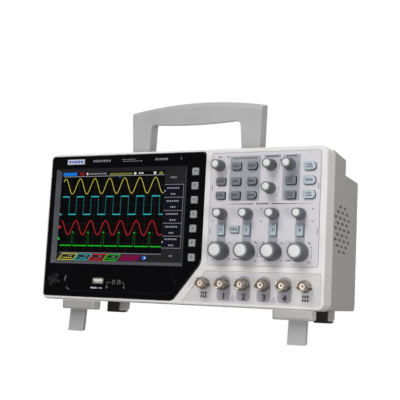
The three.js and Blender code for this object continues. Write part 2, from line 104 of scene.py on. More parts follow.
BOX = {name: Box(name) for name in frame["nodes"]}
KEYS = sorted(name for name in BOX if name.startswith("button_"))
KNOBS = sorted(name for name in BOX if name.startswith("knob_"))
SOCKETS = sorted((name for name in BOX if name.startswith("bnc_")), key=lambda name: BOX[name].x)
CHANNEL_SOCKETS = [name for name in SOCKETS if name.startswith("bnc_channel_")]
COLUMNS = [BOX[f"knob_scale_{i}"].x for i in (1, 2, 3, 4)]


def hinge_matrix(joint, lean):
    """The frame of a piece that swings on a joint and leans by so many degrees from the body."""
    return Matrix.Translation(JOINTS[joint]["pos_m"]) @ Matrix.Rotation(math.radians(lean) - LEAN, 4, "X")


# ---------------------------------------------------------------- outlines


def arc(x, z, radius, start, stop, steps=8):
    turns = [math.radians(start + (stop - start) * i / steps) for i in range(steps + 1)]
    return [(x + radius * math.cos(turn), z + radius * math.sin(turn)) for turn in turns]


def circle(x, z, radius, steps=48):
    return arc(x, z, radius, 0, 360, steps)[:-1]


def rounded(left, right, bottom, top, radii, steps=8):
    """A rectangle, anticlockwise, with its corner radii in the order lower left, lower right, upper
    right and upper left."""
    a, b, c, d = radii if isinstance(radii, (list, tuple)) else [radii] * 4
    return (
        arc(right - b, bottom + b, b, -90, 0, steps)
        + arc(right - c, top - c, c, 0, 90, steps)
        + arc(left + d, top - d, d, 90, 180, steps)
        + arc(left + a, bottom + a, a, 180, 270, steps)
    )


def centred(x, z, width, height, radii, steps=8):
    return rounded(x - width / 2, x + width / 2, z - height / 2, z + height / 2, radii, steps)


def curve(start, control, stop, steps=10):
    """Points on a quadratic curve, both ends among them."""
    points = []
    for i in range(steps + 1):
        t = i / steps
        weights = ((1 - t) ** 2, 2 * t * (1 - t), t**2)
        points.append(tuple(sum(w * p[k] for w, p in zip(weights, (start, control, stop))) for k in (0, 1)))
    return points


SAME_POINT = 1e-4  # points nearer to each other than this are one


def without_repeats(outline):
    kept = []
    for point in outline:
        if not kept or math.dist(point, kept[-1]) > SAME_POINT:
            kept.append(point)
    return kept[:-1] if math.dist(kept[0], kept[-1]) < SAME_POINT else kept


def grow(outline, distance):
    """An anticlockwise outline moved outwards everywhere by a distance, or inwards if it is negative."""
    moved = []
    count = len(outline)
    for i, point in enumerate(outline):
        before, after = outline[i - 1], outline[(i + 1) % count]
        a = Vector((point[1] - before[1], before[0] - point[0])).normalized()
        b = Vector((after[1] - point[1], point[0] - after[0])).normalized()
        mitre = (a + b) / (1 + a.dot(b))
        moved.append((point[0] + distance * mitre.x, point[1] + distance * mitre.y))
    return moved


def rim(outline, face, radius, steps=4, hole=False, towards=1):
    """The rings of a quarter-round edge that starts on a face: [(outline, depth)], ending on the
    outline itself. A hole's edge opens outwards. The depth runs towards +1 or -1."""
    rings = []
    for i in range(steps + 1):
        turn = math.pi / 2 * i / steps
        inset = radius * (1 - math.sin(turn)) * (1 if hole else -1)
        rings.append((grow(outline, inset), face + towards * radius * (1 - math.cos(turn))))
    return rings


def in_front(outline, y):
    """An outline drawn in X and Z, at a depth y."""
    return [(x, y, z) for x, z in outline]


def from_side(outline, x):
    """An outline drawn in Y and Z, at a distance x."""
    return [(x, y, z) for y, z in outline]


# ---------------------------------------------------------------- meshes

INK_THICK = 0.04


class Build:
    """A mesh being made, in millimetres."""

    def __init__(self):
        self.mesh = bmesh.new()

    def ring(self, points):
        corners = [self.mesh.verts.new(Vector(point) * MM) for point in points]
        for i, corner in enumerate(corners):
            self.mesh.edges.new((corners[i - 1], corner))
        return corners

    def rings(self, pairs, plane=in_front):
        return [self.ring(plane(outline, depth)) for outline, depth in pairs]

    def wall(self, *rings, finish=0):
        """Quads between each ring and the next."""
        for low, high in zip(rings, rings[1:]):
            for i in range(len(low)):
                face = self.mesh.faces.new((low[i - 1], low[i], high[i], high[i - 1]))
                face.material_index = finish

    def cap(self, *rings, finish=0):
        """A flat face inside the first ring and outside the others."""
        edges = [self.mesh.edges.get((ring[i - 1], ring[i])) for ring in rings for i in range(len(ring))]
        made = bmesh.ops.triangle_fill(self.mesh, use_beauty=True, edges=edges)
        for item in made["geom"]:
            if isinstance(item, bmesh.types.BMFace):
                item.material_index = finish

    def sleeve(self, pairs, plane=in_front):
        """Rings with walls between them, open at both ends."""
        rings = self.rings(pairs, plane)
        self.wall(*rings)
        return rings

    def solid(self, pairs, plane=in_front):
        """A closed body through a list of (outline, depth)."""
        rings = self.sleeve(pairs, plane)
        self.cap(rings[0])
        self.cap(rings[-1])

    def slab(self, outline, front, back, edge=0.0, steps=3, plane=in_front):
        """A plate with round edges on both faces, or square ones."""
        if edge:
            pairs = rim(outline, front, edge, steps) + rim(outline, back, edge, steps, towards=-1)[::-1]
        else:
            pairs = [(outline, front), (outline, back)]
        self.solid(pairs, plane)

    def mark(self, outline, front, thick=INK_THICK):
        """A printed shape."""
        self.slab(outline, front, front + thick)

    def patch(self, left, right, bottom, top, front, thick=INK_THICK):
        self.mark([(left, bottom), (right, bottom), (right, top), (left, top)], front, thick)

    def bars(self, left, right, bottom, top, count, front, share=0.66, thick=INK_THICK):
        """A row of short bars in the place of a printed word; each fills a share of its pitch."""
        pitch = (right - left) / count
        for i in range(count):
            self.patch(left + i * pitch, left + (i + share) * pitch, bottom, top, front, thick)

    def word(self, x, z, width, height, front, count):
        """A word of so many bars, centred on a point."""
        self.bars(x - width / 2, x + width / 2, z - height / 2, z + height / 2, count, front)

    def strip(self, points, width, front, thick=INK_THICK):
        """A flat ribbon of constant width along an open line of (x, z) points."""
        sides = ([], [])
        for i, point in enumerate(points):
            before, after = points[max(i - 1, 0)], points[min(i + 1, len(points) - 1)]
            way = Vector((after[0] - before[0], after[1] - before[1])).normalized()
            for side, sign in zip(sides, (1, -1)):
                side.append((point[0] - sign * way.y * width / 2, point[1] + sign * way.x * width / 2))
        self.mark(sides[1] + sides[0][::-1], front, thick)

    def closed_line(self, corners, width, front, thick=INK_THICK):
        """A line round a shape's corners, one ribbon to a side."""
        for side in zip(corners, corners[1:] + corners[:1]):
            self.strip(side, width, front, thick)

    def turned(self, profile, x, z, steps):
        """A body of revolution about a line along Y: [(radius, y)], closed flat at both ends."""
        self.solid([(circle(x, z, radius, steps), y) for radius, y in profile])


SMOOTH_BELOW = 35  # degrees
FINISHES = {}  # the materials by name


def add_object(name, data, finishes, body, stands_for, matrix):
    data.transform(matrix)
    for finish in finishes:
        data.materials.append(FINISHES[finish])
    data.shade_smooth()
    data.set_sharp_from_angle(angle=math.radians(SMOOTH_BELOW))
    made = bpy.data.objects.new(name, data)
    bpy.context.scene.collection.objects.link(made)
    made.modifiers.new("normals", "WEIGHTED_NORMAL").keep_sharp = True
    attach(made, body)
    if stands_for:
        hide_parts(*stands_for)
    return made


def add_piece(name, build, finishes, body="root", stands_for=(), matrix=BODY):
    bmesh.ops.recalc_face_normals(build.mesh, faces=build.mesh.faces)
    data = bpy.data.meshes.new(name)
    build.mesh.to_mesh(data)
    build.mesh.free()
    return add_object(name, data, finishes, body, stands_for, matrix)


FLAT_BELOW = 0.5  # degrees: an edge flatter than this is dissolved
ROUND_ABOVE = 25  # an edge sharper than this is rounded
SQUARE_ABOVE = 60  # an edge less sharp than this belongs to a chamfer


def soften(node, finish, width, segments=3, sharp=None):
    """A copy of a node's mesh with its edges rounded, to stand for it. A chamfer's edges are rounded
    more than square ones, so that it reads as a round corner. Edges in a sharp zone are left."""
    name = node + "_shell"
    build = bmesh.new()
    build.from_mesh(frame["nodes"][node].data)
    bmesh.ops.remove_doubles(build, verts=build.verts, dist=1e-6)
    bmesh.ops.dissolve_limit(build, angle_limit=math.radians(FLAT_BELOW), verts=build.verts, edges=build.edges)
    weights = build.edges.layers.float.new("bevel_weight_edge")
    back = BODY.inverted()
    for edge in build.edges:
        angle = math.degrees(edge.calc_face_angle(0))
        places = [back @ vertex.co / MM for vertex in edge.verts]
        if angle > ROUND_ABOVE and not (sharp and all(sharp(place) for place in places)):
            edge[weights] = 1.0 if angle < SQUARE_ABOVE else width[1] / width[0]
    data = bpy.data.meshes.new(name)
    build.to_mesh(data)
    build.free()
    data.materials.clear()
    made = add_object(name, data, [finish], "root", [node], Matrix.Identity(4))
    bevel = made.modifiers.new("edges", "BEVEL")
    bevel.width = width[0] * MM
    bevel.segments = segments
    bevel.limit_method = "WEIGHT"
    bevel.use_clamp_overlap = False
    made.modifiers.move(1, 0)


# ---------------------------------------------------------------- materials


def linear(colour):
    """An 8-bit display colour as the linear colour that a shader takes."""
    shares = [value / 255 for value in colour]
    return [share / 12.92 if share < 0.04 else ((share + 0.055) / 1.055) ** 2.4 for share in shares] + [1.0]


def shaded(colour, factor):
    return [min(1.0, value * factor) for value in colour[:3]] + [1.0]


def map_range(tree, value, numbers):
    """A value in the range of the first two numbers, as one in the range of the last two."""
    node = tree.nodes.new("ShaderNodeMapRange")
    for name, number in zip(("From Min", "From Max", "To Min", "To Max"), numbers):
        node.inputs[name].default_value = number
    tree.links.new(value, node.inputs["Value"])
    return node.outputs["Result"]


MIX_FIRST, MIX_SECOND, MIX_RESULT = 6, 7, 2  # the sockets of a mix node that take and give colours


class Nodes:
    """A material's node tree, with short ways to add to it."""

    def __init__(self, name):
        self.material = bpy.data.materials.new(name)
        self.material.use_nodes = True
        self.tree = self.material.node_tree
        self.shader = self.tree.nodes["Principled BSDF"]
        self.place = self.add("ShaderNodeTexCoord").outputs["Object"]

    def add(self, kind, **values):
        node = self.tree.nodes.new(kind)
        for name, value in values.items():
            setattr(node, name, value)
        return node

    def link(self, output, socket):
        self.tree.links.new(output, socket)

    def noise(self, size, detail=2.0, stretch=(1, 1, 1)):
        """Noise whose features are about so many millimetres across."""
        mapping = self.add("ShaderNodeMapping")
        mapping.inputs["Scale"].default_value = stretch
        self.link(self.place, mapping.inputs["Vector"])
        noise = self.add("ShaderNodeTexNoise")
        noise.inputs["Scale"].default_value = 1 / (size * MM)
        noise.inputs["Detail"].default_value = detail
        self.link(mapping.outputs["Vector"], noise.inputs["Vector"])
        return noise.outputs["Fac"]

    def ramp(self, value, low, high, start=0.3, stop=0.7):
        """A value between start and stop as one between low and high."""
        return map_range(self.tree, value, (start, stop, low, high))

    def mix(self, factor, first, second):
        node = self.add("ShaderNodeMix", data_type="RGBA")
        self.link(factor, node.inputs["Factor"])
        for socket, colour in ((node.inputs[MIX_FIRST], first), (node.inputs[MIX_SECOND], second)):
            if isinstance(colour, list):
                socket.default_value = colour
            else:
                self.link(colour, socket)
        return node.outputs[MIX_RESULT]

    def bump(self, height, deep):
        """A bump of so many millimetres from a height between 0 and 1."""
        node = self.add("ShaderNodeBump")
        node.inputs["Strength"].default_value = 1.0
        node.inputs["Distance"].default_value = deep * MM
        self.link(height, node.inputs["Height"])
        self.link(node.outputs["Normal"], self.shader.inputs["Normal"])


def moulded(name, colour, rough=0.45, grain=0.35, deep=0.012, mottle=0.05, specular=0.5):
    """Moulded plastic or ink: a fine grain, slight patches of tone, and uneven gloss."""
    nodes = Nodes(name)
    colour = linear(colour)
    patches = nodes.noise(18, detail=4)
    fine = nodes.noise(grain, detail=3)
    tone = nodes.mix(nodes.ramp(patches, 0, 1), shaded(colour, 1 - mottle), shaded(colour, 1 + mottle))
    speck = nodes.mix(nodes.ramp(fine, 0, 0.5), tone, shaded(colour, 1 - 2 * mottle))
    nodes.link(speck, nodes.shader.inputs["Base Color"])
    nodes.link(nodes.ramp(patches, rough - 0.05, rough + 0.07), nodes.shader.inputs["Roughness"])
    nodes.shader.inputs["Specular IOR Level"].default_value = specular
    nodes.bump(fine, deep)
    return nodes.material


def glossy_black(name, colour, rough):
    """Polished black plastic with faint wiping marks in its gloss."""
    nodes = Nodes(name)
    colour = linear(colour)
    wiped = nodes.noise(9, detail=5, stretch=(1, 1, 3.5))
    dust = nodes.noise(0.5, detail=2)
    toned = nodes.mix(nodes.ramp(dust, 0, 0.6, 0.55, 0.8), colour, shaded(colour, 1.8))
    nodes.link(toned, nodes.shader.inputs["Base Color"])
    nodes.link(nodes.ramp(wiped, rough * 0.75, rough * 1.4), nodes.shader.inputs["Roughness"])
    nodes.shader.inputs["Specular IOR Level"].default_value = 0.4
    nodes.bump(wiped, 0.004)
    return nodes.material


def plated(name, colour, rough, tarnish):
    """Plated metal with fine turning marks and darker patches."""
    nodes = Nodes(name)
    nodes.shader.inputs["Metallic"].default_value = 1.0
    marks = nodes.noise(0.25, detail=3, stretch=(0.2, 4, 0.2))
    patches = nodes.noise(2.2, detail=4)
    toned = nodes.mix(nodes.ramp(patches, 0, 1, 0.4, 0.75), linear(colour), linear(tarnish))
    nodes.link(toned, nodes.shader.inputs["Base Color"])
    nodes.link(nodes.ramp(patches, rough * 0.8, rough * 1.5), nodes.shader.inputs["Roughness"])
    nodes.bump(marks, 0.01)
    return nodes.material


def board(name):
    """Green solder mask with copper tracks showing through."""
    nodes = Nodes(name)
    tracks = nodes.add("ShaderNodeTexBrick", offset=0.5)
    tracks.inputs["Scale"].default_value = 1 / (9 * MM)
    for socket, colour in {"Color1": (24, 92, 56), "Color2": (20, 84, 50), "Mortar": (60, 132, 88)}.items():
        tracks.inputs[socket].default_value = linear(colour)
    nodes.link(nodes.place, tracks.inputs["Vector"])
    nodes.link(tracks.outputs["Color"], nodes.shader.inputs["Base Color"])
    patches = nodes.noise(6, detail=3)
    nodes.link(nodes.ramp(patches, 0.3, 0.5), nodes.shader.inputs["Roughness"])
    nodes.bump(tracks.outputs["Fac"], 0.03)
    return nodes.material


DOT = 0.19  # the size of the display's picture elements


def lit(name, colour, strength=1.0):
    """A lit part of the display, with its fine grid of picture elements."""
    nodes = Nodes(name)
    nodes.shader.inputs["Base Color"].default_value = (0, 0, 0, 1)
    nodes.shader.inputs["Roughness"].default_value = 0.35
    nodes.shader.inputs["Specular IOR Level"].default_value = 0.1
    grid = nodes.add("ShaderNodeTexChecker")
    grid.inputs["Scale"].default_value = 1 / (DOT * MM)
    grid.inputs["Color1"].default_value = shaded(linear(colour), 0.94)
    grid.inputs["Color2"].default_value = shaded(linear(colour), 1.06)
    nodes.link(nodes.place, grid.inputs["Vector"])
    nodes.link(grid.outputs["Color"], nodes.shader.inputs["Emission Color"])
    nodes.shader.inputs["Emission Strength"].default_value = strength
    return nodes.material


# How the printed and moulded surfaces of a kind are textured.
FILM = {"rough": 0.5, "grain": 0.25, "deep": 0.006, "mottle": 0.03}
AREA = {"rough": 0.5, "grain": 0.25, "deep": 0.004, "mottle": 0.04}
INK = {"rough": 0.5, "grain": 0.2, "deep": 0.003}
DULL = {"rough": 0.5, "grain": 0.2}
SIDE = {"rough": 0.5, "grain": 0.3, "deep": 0.006}
SURROUND = {"rough": 0.3, "deep": 0.006}

for name, (colour, texture) in {
    "bezel_white": ((216, 214, 212), {"rough": 0.42}),
    "case_grey": ((158, 156, 151), {"rough": 0.5, "grain": 0.5, "deep": 0.02}),
    "window_surround": ((68, 69, 75), SURROUND),
    # the window's top wall: the surround darkened as painted shade, where it faces down
    "window_surround_painted_shade": ((44, 44, 48), SURROUND),
    "overlay_film": ((198, 195, 200), FILM),
    "socket_field_film": ((196, 194, 195), FILM),
    "zone_ink": ((150, 153, 160), AREA),
    "stripe_ink": ((146, 150, 157), AREA),
    "patch_ink": ((150, 148, 155), AREA),
    "dark_ink": ((44, 45, 52), {**INK, "rough": 0.55}),
    "pale_ink": ((190, 192, 198), INK),
    "blue_ink": ((66, 96, 190), INK),
    "dim_ink": ((112, 114, 120), DULL),
    "symbol_ink": ((62, 64, 68), DULL),
    "note_ink": ((128, 126, 134), DULL),
    "key_grey": ((112, 118, 124), {**SIDE, "rough": 0.45}),
    "key_grey_side": ((44, 47, 52), SIDE),
    "key_blue": ((170, 184, 192), {**SIDE, "rough": 0.45}),
    "key_blue_side": ((116, 130, 140), SIDE),
    "key_soft": ((152, 154, 157), {**SIDE, "rough": 0.4}),
    "key_soft_side": ((96, 98, 102), SIDE),
    "key_black": ((13, 13, 15), {"rough": 0.3, "grain": 0.3, "deep": 0.005, "specular": 0.3}),
    "knob_grey": ((112, 115, 120), {"rough": 0.5, "grain": 0.3, "mottle": 0.07}),
    "cap_white": ((210, 211, 210), {"rough": 0.38, "grain": 0.3, "deep": 0.004, "mottle": 0.02}),
    "light_plastic": ((166, 166, 167), {"rough": 0.48, "grain": 0.4, "deep": 0.02}),
    "foot_plastic": ((214, 212, 209), {"rough": 0.48, "grain": 0.4, "deep": 0.015}),
    "rubber": ((58, 52, 46), {"rough": 0.85, "grain": 0.6, "deep": 0.03, "mottle": 0.15, "specular": 0.25}),
    "insulator": ((236, 230, 220), {"rough": 0.4, "grain": 0.3, "deep": 0.004, "mottle": 0.03}),
    "slot_black": ((16, 16, 17), {"rough": 0.5, "grain": 0.3, "deep": 0.01}),
}.items():
    FINISHES[name] = moulded(name, colour, **texture)

for name, colour, rough, tarnish in (
    ("nickel", (206, 196, 182), 0.24, (140, 124, 108)),
    # the socket lugs: nickel darkened as painted shade where they sit against the panel
    ("shaded_nickel", (96, 88, 80), 0.35, (60, 54, 50)),
    ("gold", (214, 168, 84), 0.3, (160, 110, 50)),
    ("port_steel", (150, 146, 140), 0.4, (110, 106, 100)),
    ("plated_steel", (190, 190, 192), 0.35, (140, 140, 142)),
):
    FINISHES[name] = plated(name, colour, rough, tarnish)

for name, colour in {
    "black": (4, 4, 6),
    "grey": (34, 34, 36),
    "navy": (12, 12, 26),
    "grid": (50, 50, 56),
    "pale": (150, 150, 156),
    "white": (215, 215, 218),
    "yellow": (205, 198, 62),
    "olive": (120, 122, 50),
    "cyan": (48, 182, 188),
    "teal": (30, 128, 138),
    "red": (214, 30, 36),
    "dark_red": (120, 22, 26),
    "green": (24, 196, 34),
    "dark_green": (18, 120, 24),
    "magenta": (104, 10, 72),
    "blue": (20, 116, 214),
}.items():
    FINISHES["screen_" + name] = lit("screen_" + name, colour, 0.6 if name == "black" else 1.0)

FINISHES["panel_black"] = glossy_black("panel_black", (4, 4, 6), 0.1)
FINISHES["circuit_board"] = board("circuit_board")

# ---------------------------------------------------------------- front bezel and what sits in it

BEZEL = BOX["front_bezel"]
PANEL = BOX["screen_panel"]
OVERLAY = BOX["control_overlay"]
LCD = BOX["lcd_module"]
PANEL_KEYS = [key for key in KEYS if BOX[key].x < PANEL.x1]
RUN_KEYS = ("button_run", "button_single", "button_auto")
FILM_NODES = [key for key in KEYS if BOX[key].x > PANEL.x1] + KNOBS

CORNER = 7.0
CORNER_FADE = 3.0  # how much smaller the corners are where the flat front starts
FRONT_INSET = (1.8, 2.6, 1.9, 1.6)  # left, right, bottom and top: from the back edge to the flat front
DRAFT = 1.1  # how far the bezel's sides taper in towards the front
EDGE_DEPTH = 2.2
BACK_CHAMFER = 0.5
WALL = 2.6
FRONT_WALL = 5.8  # y of the inside of the front wall
CLEARANCE = 0.3
KEY_CLEARANCE = 0.4
SHAFT = 3.0
FILM_SEAT = 1.1
FIELD_DEEP = 1.2
KEY_RADII = {"menu": 1.4, "round": (1.0, 3.4, 3.4, 1.0), "soft": 1.0, "channel": 0.9}
THREAD = 5.3  # radius of a socket's thread, behind the panel

DISPLAY = rounded(LCD.x0 + 1.9, LCD.x1 - 0.9, LCD.z0 + 1.9, LCD.z1 - 1.9, 0.5, 2)
FILM_OUTLINE = rounded(OVERLAY.x0, OVERLAY.x1, OVERLAY.z0, OVERLAY.z1, 3)

# The display's window in the screen panel, and the mouth that it opens to at the front.
WINDOW = (LCD.x0 + 6.2, LCD.x1 - 4.5, LCD.z0 + 6.2, LCD.z1 - 7.1)
MOUTH = (WINDOW[0] - 5.6, WINDOW[1] + 3.3, WINDOW[2] - 3.8, WINDOW[3] + 4.2)


def kind_of(key):
    if key == "button_power":
        return "power"
    if "soft" in key:
        return "soft"
    if "channel" in key or "math" in key:
        return "channel"
    if key in RUN_KEYS:
        return "round"
    # The keys of the menu's last column are round on their right side.
    last = max(BOX[name].x for name in KEYS if "menu" in name and "trigger" not in name)
    return "round" if "trigger" not in key and abs(BOX[key].x - last) < 1 else "menu"


# A key's cap is this much smaller than its node, whose flange behind the wall is wider.
FLANGE = 1.1


def key_outline(key, margin=0.0):
    box = BOX[key]
    width = box.x1 - box.x0 - 2 * FLANGE
    height = box.z1 - box.z0 - 2 * FLANGE
    if key == "button_power":
        return grow(circle(box.x, box.z, width / 2), margin)
    return grow(centred(box.x, box.z, width, height, KEY_RADII[kind_of(key)], 6), margin)


def opening(node):
    """The hole that a key or a knob's shaft goes through."""
    if node in KNOBS:
        return circle(BOX[node].x, BOX[node].z, SHAFT + KEY_CLEARANCE, 24)
    return key_outline(node, KEY_CLEARANCE)


def thread_hole(socket):
    return circle(BOX[socket].x, BOX[socket].z, THREAD + CLEARANCE, 32)


def screen_outline(margin=0.0):
    """The black panel's outline, whose lower right corner is cut on a slant."""
    left, right, bottom, top = PANEL.x0, PANEL.x1, PANEL.z0, PANEL.z1
    corner = 3
    foot = (0, bottom)  # where the slant would meet the lower edge
    head = (right, 43.1)  # and the right edge
    points = (
        curve((foot[0] - 4, bottom), (foot[0] + 0.8, bottom), (foot[0] + 3.8, bottom + 4))
        + curve((right - 3.2, head[1] - 5), (right, head[1] - 1), (right, head[1] + 4))
        + arc(right - corner, top - corner, corner, 0, 90)
        + arc(left + corner, top - corner, corner, 90, 180)
        + arc(left + corner, bottom + corner, corner, 180, 270)
    )
    return grow(without_repeats(points), margin)


FIELD_BOTTOM, FIELD_TOP, FIELD_RIGHT = 3.2, 35.2, 155.6
FIELD_LEFT, FIELD_SLANT = 10.5, 25.1


def field_outline(margin=0.0):
    """The socket field: a long box with a slanted left end and round corners."""
    low, high = (FIELD_LEFT, FIELD_BOTTOM), (FIELD_LEFT + FIELD_SLANT, FIELD_TOP)
    way = Vector((high[0] - low[0], high[1] - low[1])).normalized()

    def on_slant(corner, along):
        return corner[0] + way.x * along, corner[1] + way.y * along

    round_corner = 4
    points = (
        arc(FIELD_RIGHT - round_corner, FIELD_BOTTOM + round_corner, round_corner, -90, 0)
        + arc(FIELD_RIGHT - 3, FIELD_TOP - 3, 3, 0, 90)
        + curve((high[0] + 3, FIELD_TOP), high, on_slant(high, -3), 6)
        + curve(on_slant(low, 3), low, (low[0] + 3, FIELD_BOTTOM), 6)
    )
    return grow(without_repeats(points), margin)


def front_bezel():
    build = Build()
    outline = rounded(BEZEL.x0, BEZEL.x1, BEZEL.z0, BEZEL.z1, CORNER, 10)
    inner = grow(outline, -WALL)
    left, right, bottom, top = FRONT_INSET
    skin = []
    steps = 8
    for i in range(steps + 1):
        turn = math.pi / 2 * i / steps
        fade = 1 - math.sin(turn)
        side = DRAFT * min(1, 0.62 + 0.38 * fade)
        edge = rounded(
            BEZEL.x0 + side + (left - DRAFT) * fade, BEZEL.x1 - side - (right - DRAFT) * fade,
            BEZEL.z0 + bottom * fade, BEZEL.z1 - top * fade, CORNER - CORNER_FADE * fade, 10)
        skin.append((edge, BEZEL.y0 + EDGE_DEPTH * (1 - math.cos(turn))))
    skin += [(outline, BEZEL.y1 - BACK_CHAMFER), (grow(outline, -BACK_CHAMFER), BEZEL.y1)]
    skin = build.sleeve(skin + [(inner, BEZEL.y1), (inner, FRONT_WALL)])

    # Each recess: its outline, the round of its edge, how deep it is, and the holes in its floor.
    panel_holes = [grow(DISPLAY, CLEARANCE)] + [opening(key) for key in PANEL_KEYS]
    recesses = []
    for outline, edge, deep, holes in (
        (screen_outline(CLEARANCE), 0.3, PANEL.y1 + CLEARANCE, panel_holes),
        (grow(FILM_OUTLINE, CLEARANCE), 0.4, FILM_SEAT, [opening(node) for node in FILM_NODES]),
        (field_outline(), 0.4, FIELD_DEEP, [thread_hole(socket) for socket in SOCKETS]),
    ):
        sides = build.sleeve(rim(outline, BEZEL.y0, edge, 3, hole=True) + [(outline, deep)])
        recesses.append((sides, [build.sleeve([(hole, deep), (hole, FRONT_WALL)]) for hole in holes]))
    build.cap(skin[0], *[sides[0] for sides, _ in recesses])
    for sides, holes in recesses:
        build.cap(sides[-1], *[hole[0] for hole in holes])
    build.cap(skin[-1], *[hole[-1] for _, holes in recesses for hole in holes])
    add_piece("front_bezel_shell", build, ["bezel_white"], stands_for=["front_bezel"])


POCKET_LEFT, POCKET_RIGHT, POCKET_Z, POCKET_RADIUS = -120.0, -7.7, 20.3, 10.4
POCKET_DEEP = 1.0
PANEL_INK = PANEL.y0 - 0.05  # the front of the ink on the panel
USB_X, USB_Z, USB_WIDTH, USB_HEIGHT = -89.0, 21.4, 14.0, 6.6
USB_DEEP = 9.0
LUG_XS = (-68.6, -62.2)
LUG_Z = 20.6


def stadium(left, right, z, radius, steps=16):
    return arc(right, z, radius, -90, 90, steps) + arc(left, z, radius, 90, 270, steps)


SURROUND_SIDES, SURROUND_SHADED_TOP = 1, 2  # the places of these in the panel's finishes; the top wall's is a darker copy of the sides', painted shade


def screen_panel():
    build = Build()
    face = PANEL.y0
    outline = screen_outline()
    skin = build.sleeve(rim(outline, face, 0.9, 5) + [(outline, PANEL.y1)])
    lip = build.sleeve(rim(grow(rounded(*MOUTH, 0.9, 4), -0.4), face, 0.4, 3, hole=True))
    throat = build.rings([(rounded(*WINDOW, 0.5, 4), PANEL.y1)])
    build.wall(lip[-1], throat[0], finish=SURROUND_SIDES)
    # The mouth's top wall takes the darker copy of its finish: painted shade.
    for quad in build.mesh.faces:
        if quad.material_index == SURROUND_SIDES and quad.calc_center_median().z > WINDOW[3] * MM:
            quad.material_index = SURROUND_SHADED_TOP
    pocket = stadium(POCKET_LEFT, POCKET_RIGHT, POCKET_Z, POCKET_RADIUS)
    floor = face + POCKET_DEEP
    sides = build.sleeve(rim(pocket, face, 0.45, 3, hole=True)
                         + rim(grow(pocket, -0.4), floor, 0.4, 3, towards=-1)[::-1])
    usb = centred(USB_X, USB_Z, USB_WIDTH, USB_HEIGHT, 0.8, 4)
    usb_hole = build.sleeve([(usb, floor), (usb, PANEL.y1)])
    key_holes = [build.sleeve(rim(opening(key), face, 0.25, 2, hole=True) + [(opening(key), PANEL.y1)])
                 for key in PANEL_KEYS]
    build.cap(skin[0], lip[0], sides[0], *[rings[0] for rings in key_holes])
    build.cap(sides[-1], usb_hole[0])
    build.cap(skin[-1], throat[0], usb_hole[-1], *[rings[-1] for rings in key_holes])
    finishes = ["panel_black", "window_surround", "window_surround_painted_shade"]
    add_piece("screen_panel_moulding", build, finishes, stands_for=["screen_panel"])


def ports():
    """The data port and the two probe lugs in the panel's pocket."""
    floor = PANEL.y0 + POCKET_DEEP
    shell = Build()
    outer = centred(USB_X, USB_Z, USB_WIDTH - 0.5, USB_HEIGHT - 0.5, 0.7, 4)
    inner = grow(outer, -0.55)
    lip = floor - 0.15
    rings = shell.rings(rim(outer, lip, 0.15, 2) + [(outer, USB_DEEP), (inner, USB_DEEP), (inner, lip)])
    shell.wall(*rings, rings[0])
    add_piece("usb_shell", shell, ["port_steel"])
    tongue = Build()
    blade = centred(USB_X, USB_Z + 0.7, USB_WIDTH - 2.6, 1.8, 0.2, 2)
    tongue.slab(blade, floor - 0.1, USB_DEEP - 0.2, 0.2, 2)
    add_piece("usb_tongue", tongue, ["insulator"])
    floor_plate = Build()
    floor_plate.slab(grow(inner, -0.02), USB_DEEP - 0.3, USB_DEEP - 0.02)
    add_piece("usb_back", floor_plate, ["slot_black"])
    lugs = Build()
    for x in LUG_XS:
        for side in (-1, 1):
            blade = centred(x + side * 1.15, LUG_Z, 0.7, 4.8, 0.3, 3)
            lugs.slab(blade, floor - 1.9, floor + 0.3, 0.15, 2)
        bridge = centred(x, LUG_Z + 1.2, 2.6, 0.7, 0.3, 3)
        lugs.slab(bridge, floor - 1.7, floor - 0.9, 0.15, 2)
    add_piece("probe_lugs", lugs, ["port_steel"])
    wires = Build()
    ink = floor - 0.05
    ground, signal, wire_top, wire_end = LUG_XS[0] - 9.0, LUG_XS[1] + 5.2, LUG_Z - 0.4, 15.6
    for near, far in ((LUG_XS[0] - 4.0, ground), (LUG_XS[1] + 2.2, signal)):
        wires.strip([(near, wire_top), (far, wire_top), (far, wire_end)], 0.42, ink)
    for i, width in enumerate((3.2, 2.1, 1.0)):
        wires.patch(ground - width / 2, ground + width / 2, wire_end - 0.4 - i * 0.9, wire_end - i * 0.9, ink)
    wires.mark([(signal - 1.1, wire_end), (signal, wire_end - 2), (signal + 1.1, wire_end)], ink)
    add_piece("port_wires", wires, ["dim_ink"])
    # under the port, a row of bars and a line that ends in a dot
    under = Build()
    for left, right in ((-97.4, -95.2), (-94.6, -92.6), (-92.0, -90.2)):
        under.patch(left, right, 13.1, 14.7, ink)
    under.patch(-89.6, -85.2, 13.7, 14.1, ink)
    under.mark(circle(-84.4, 13.9, 0.8, 16), ink)
    add_piece("port_marks", under, ["pale_ink"])


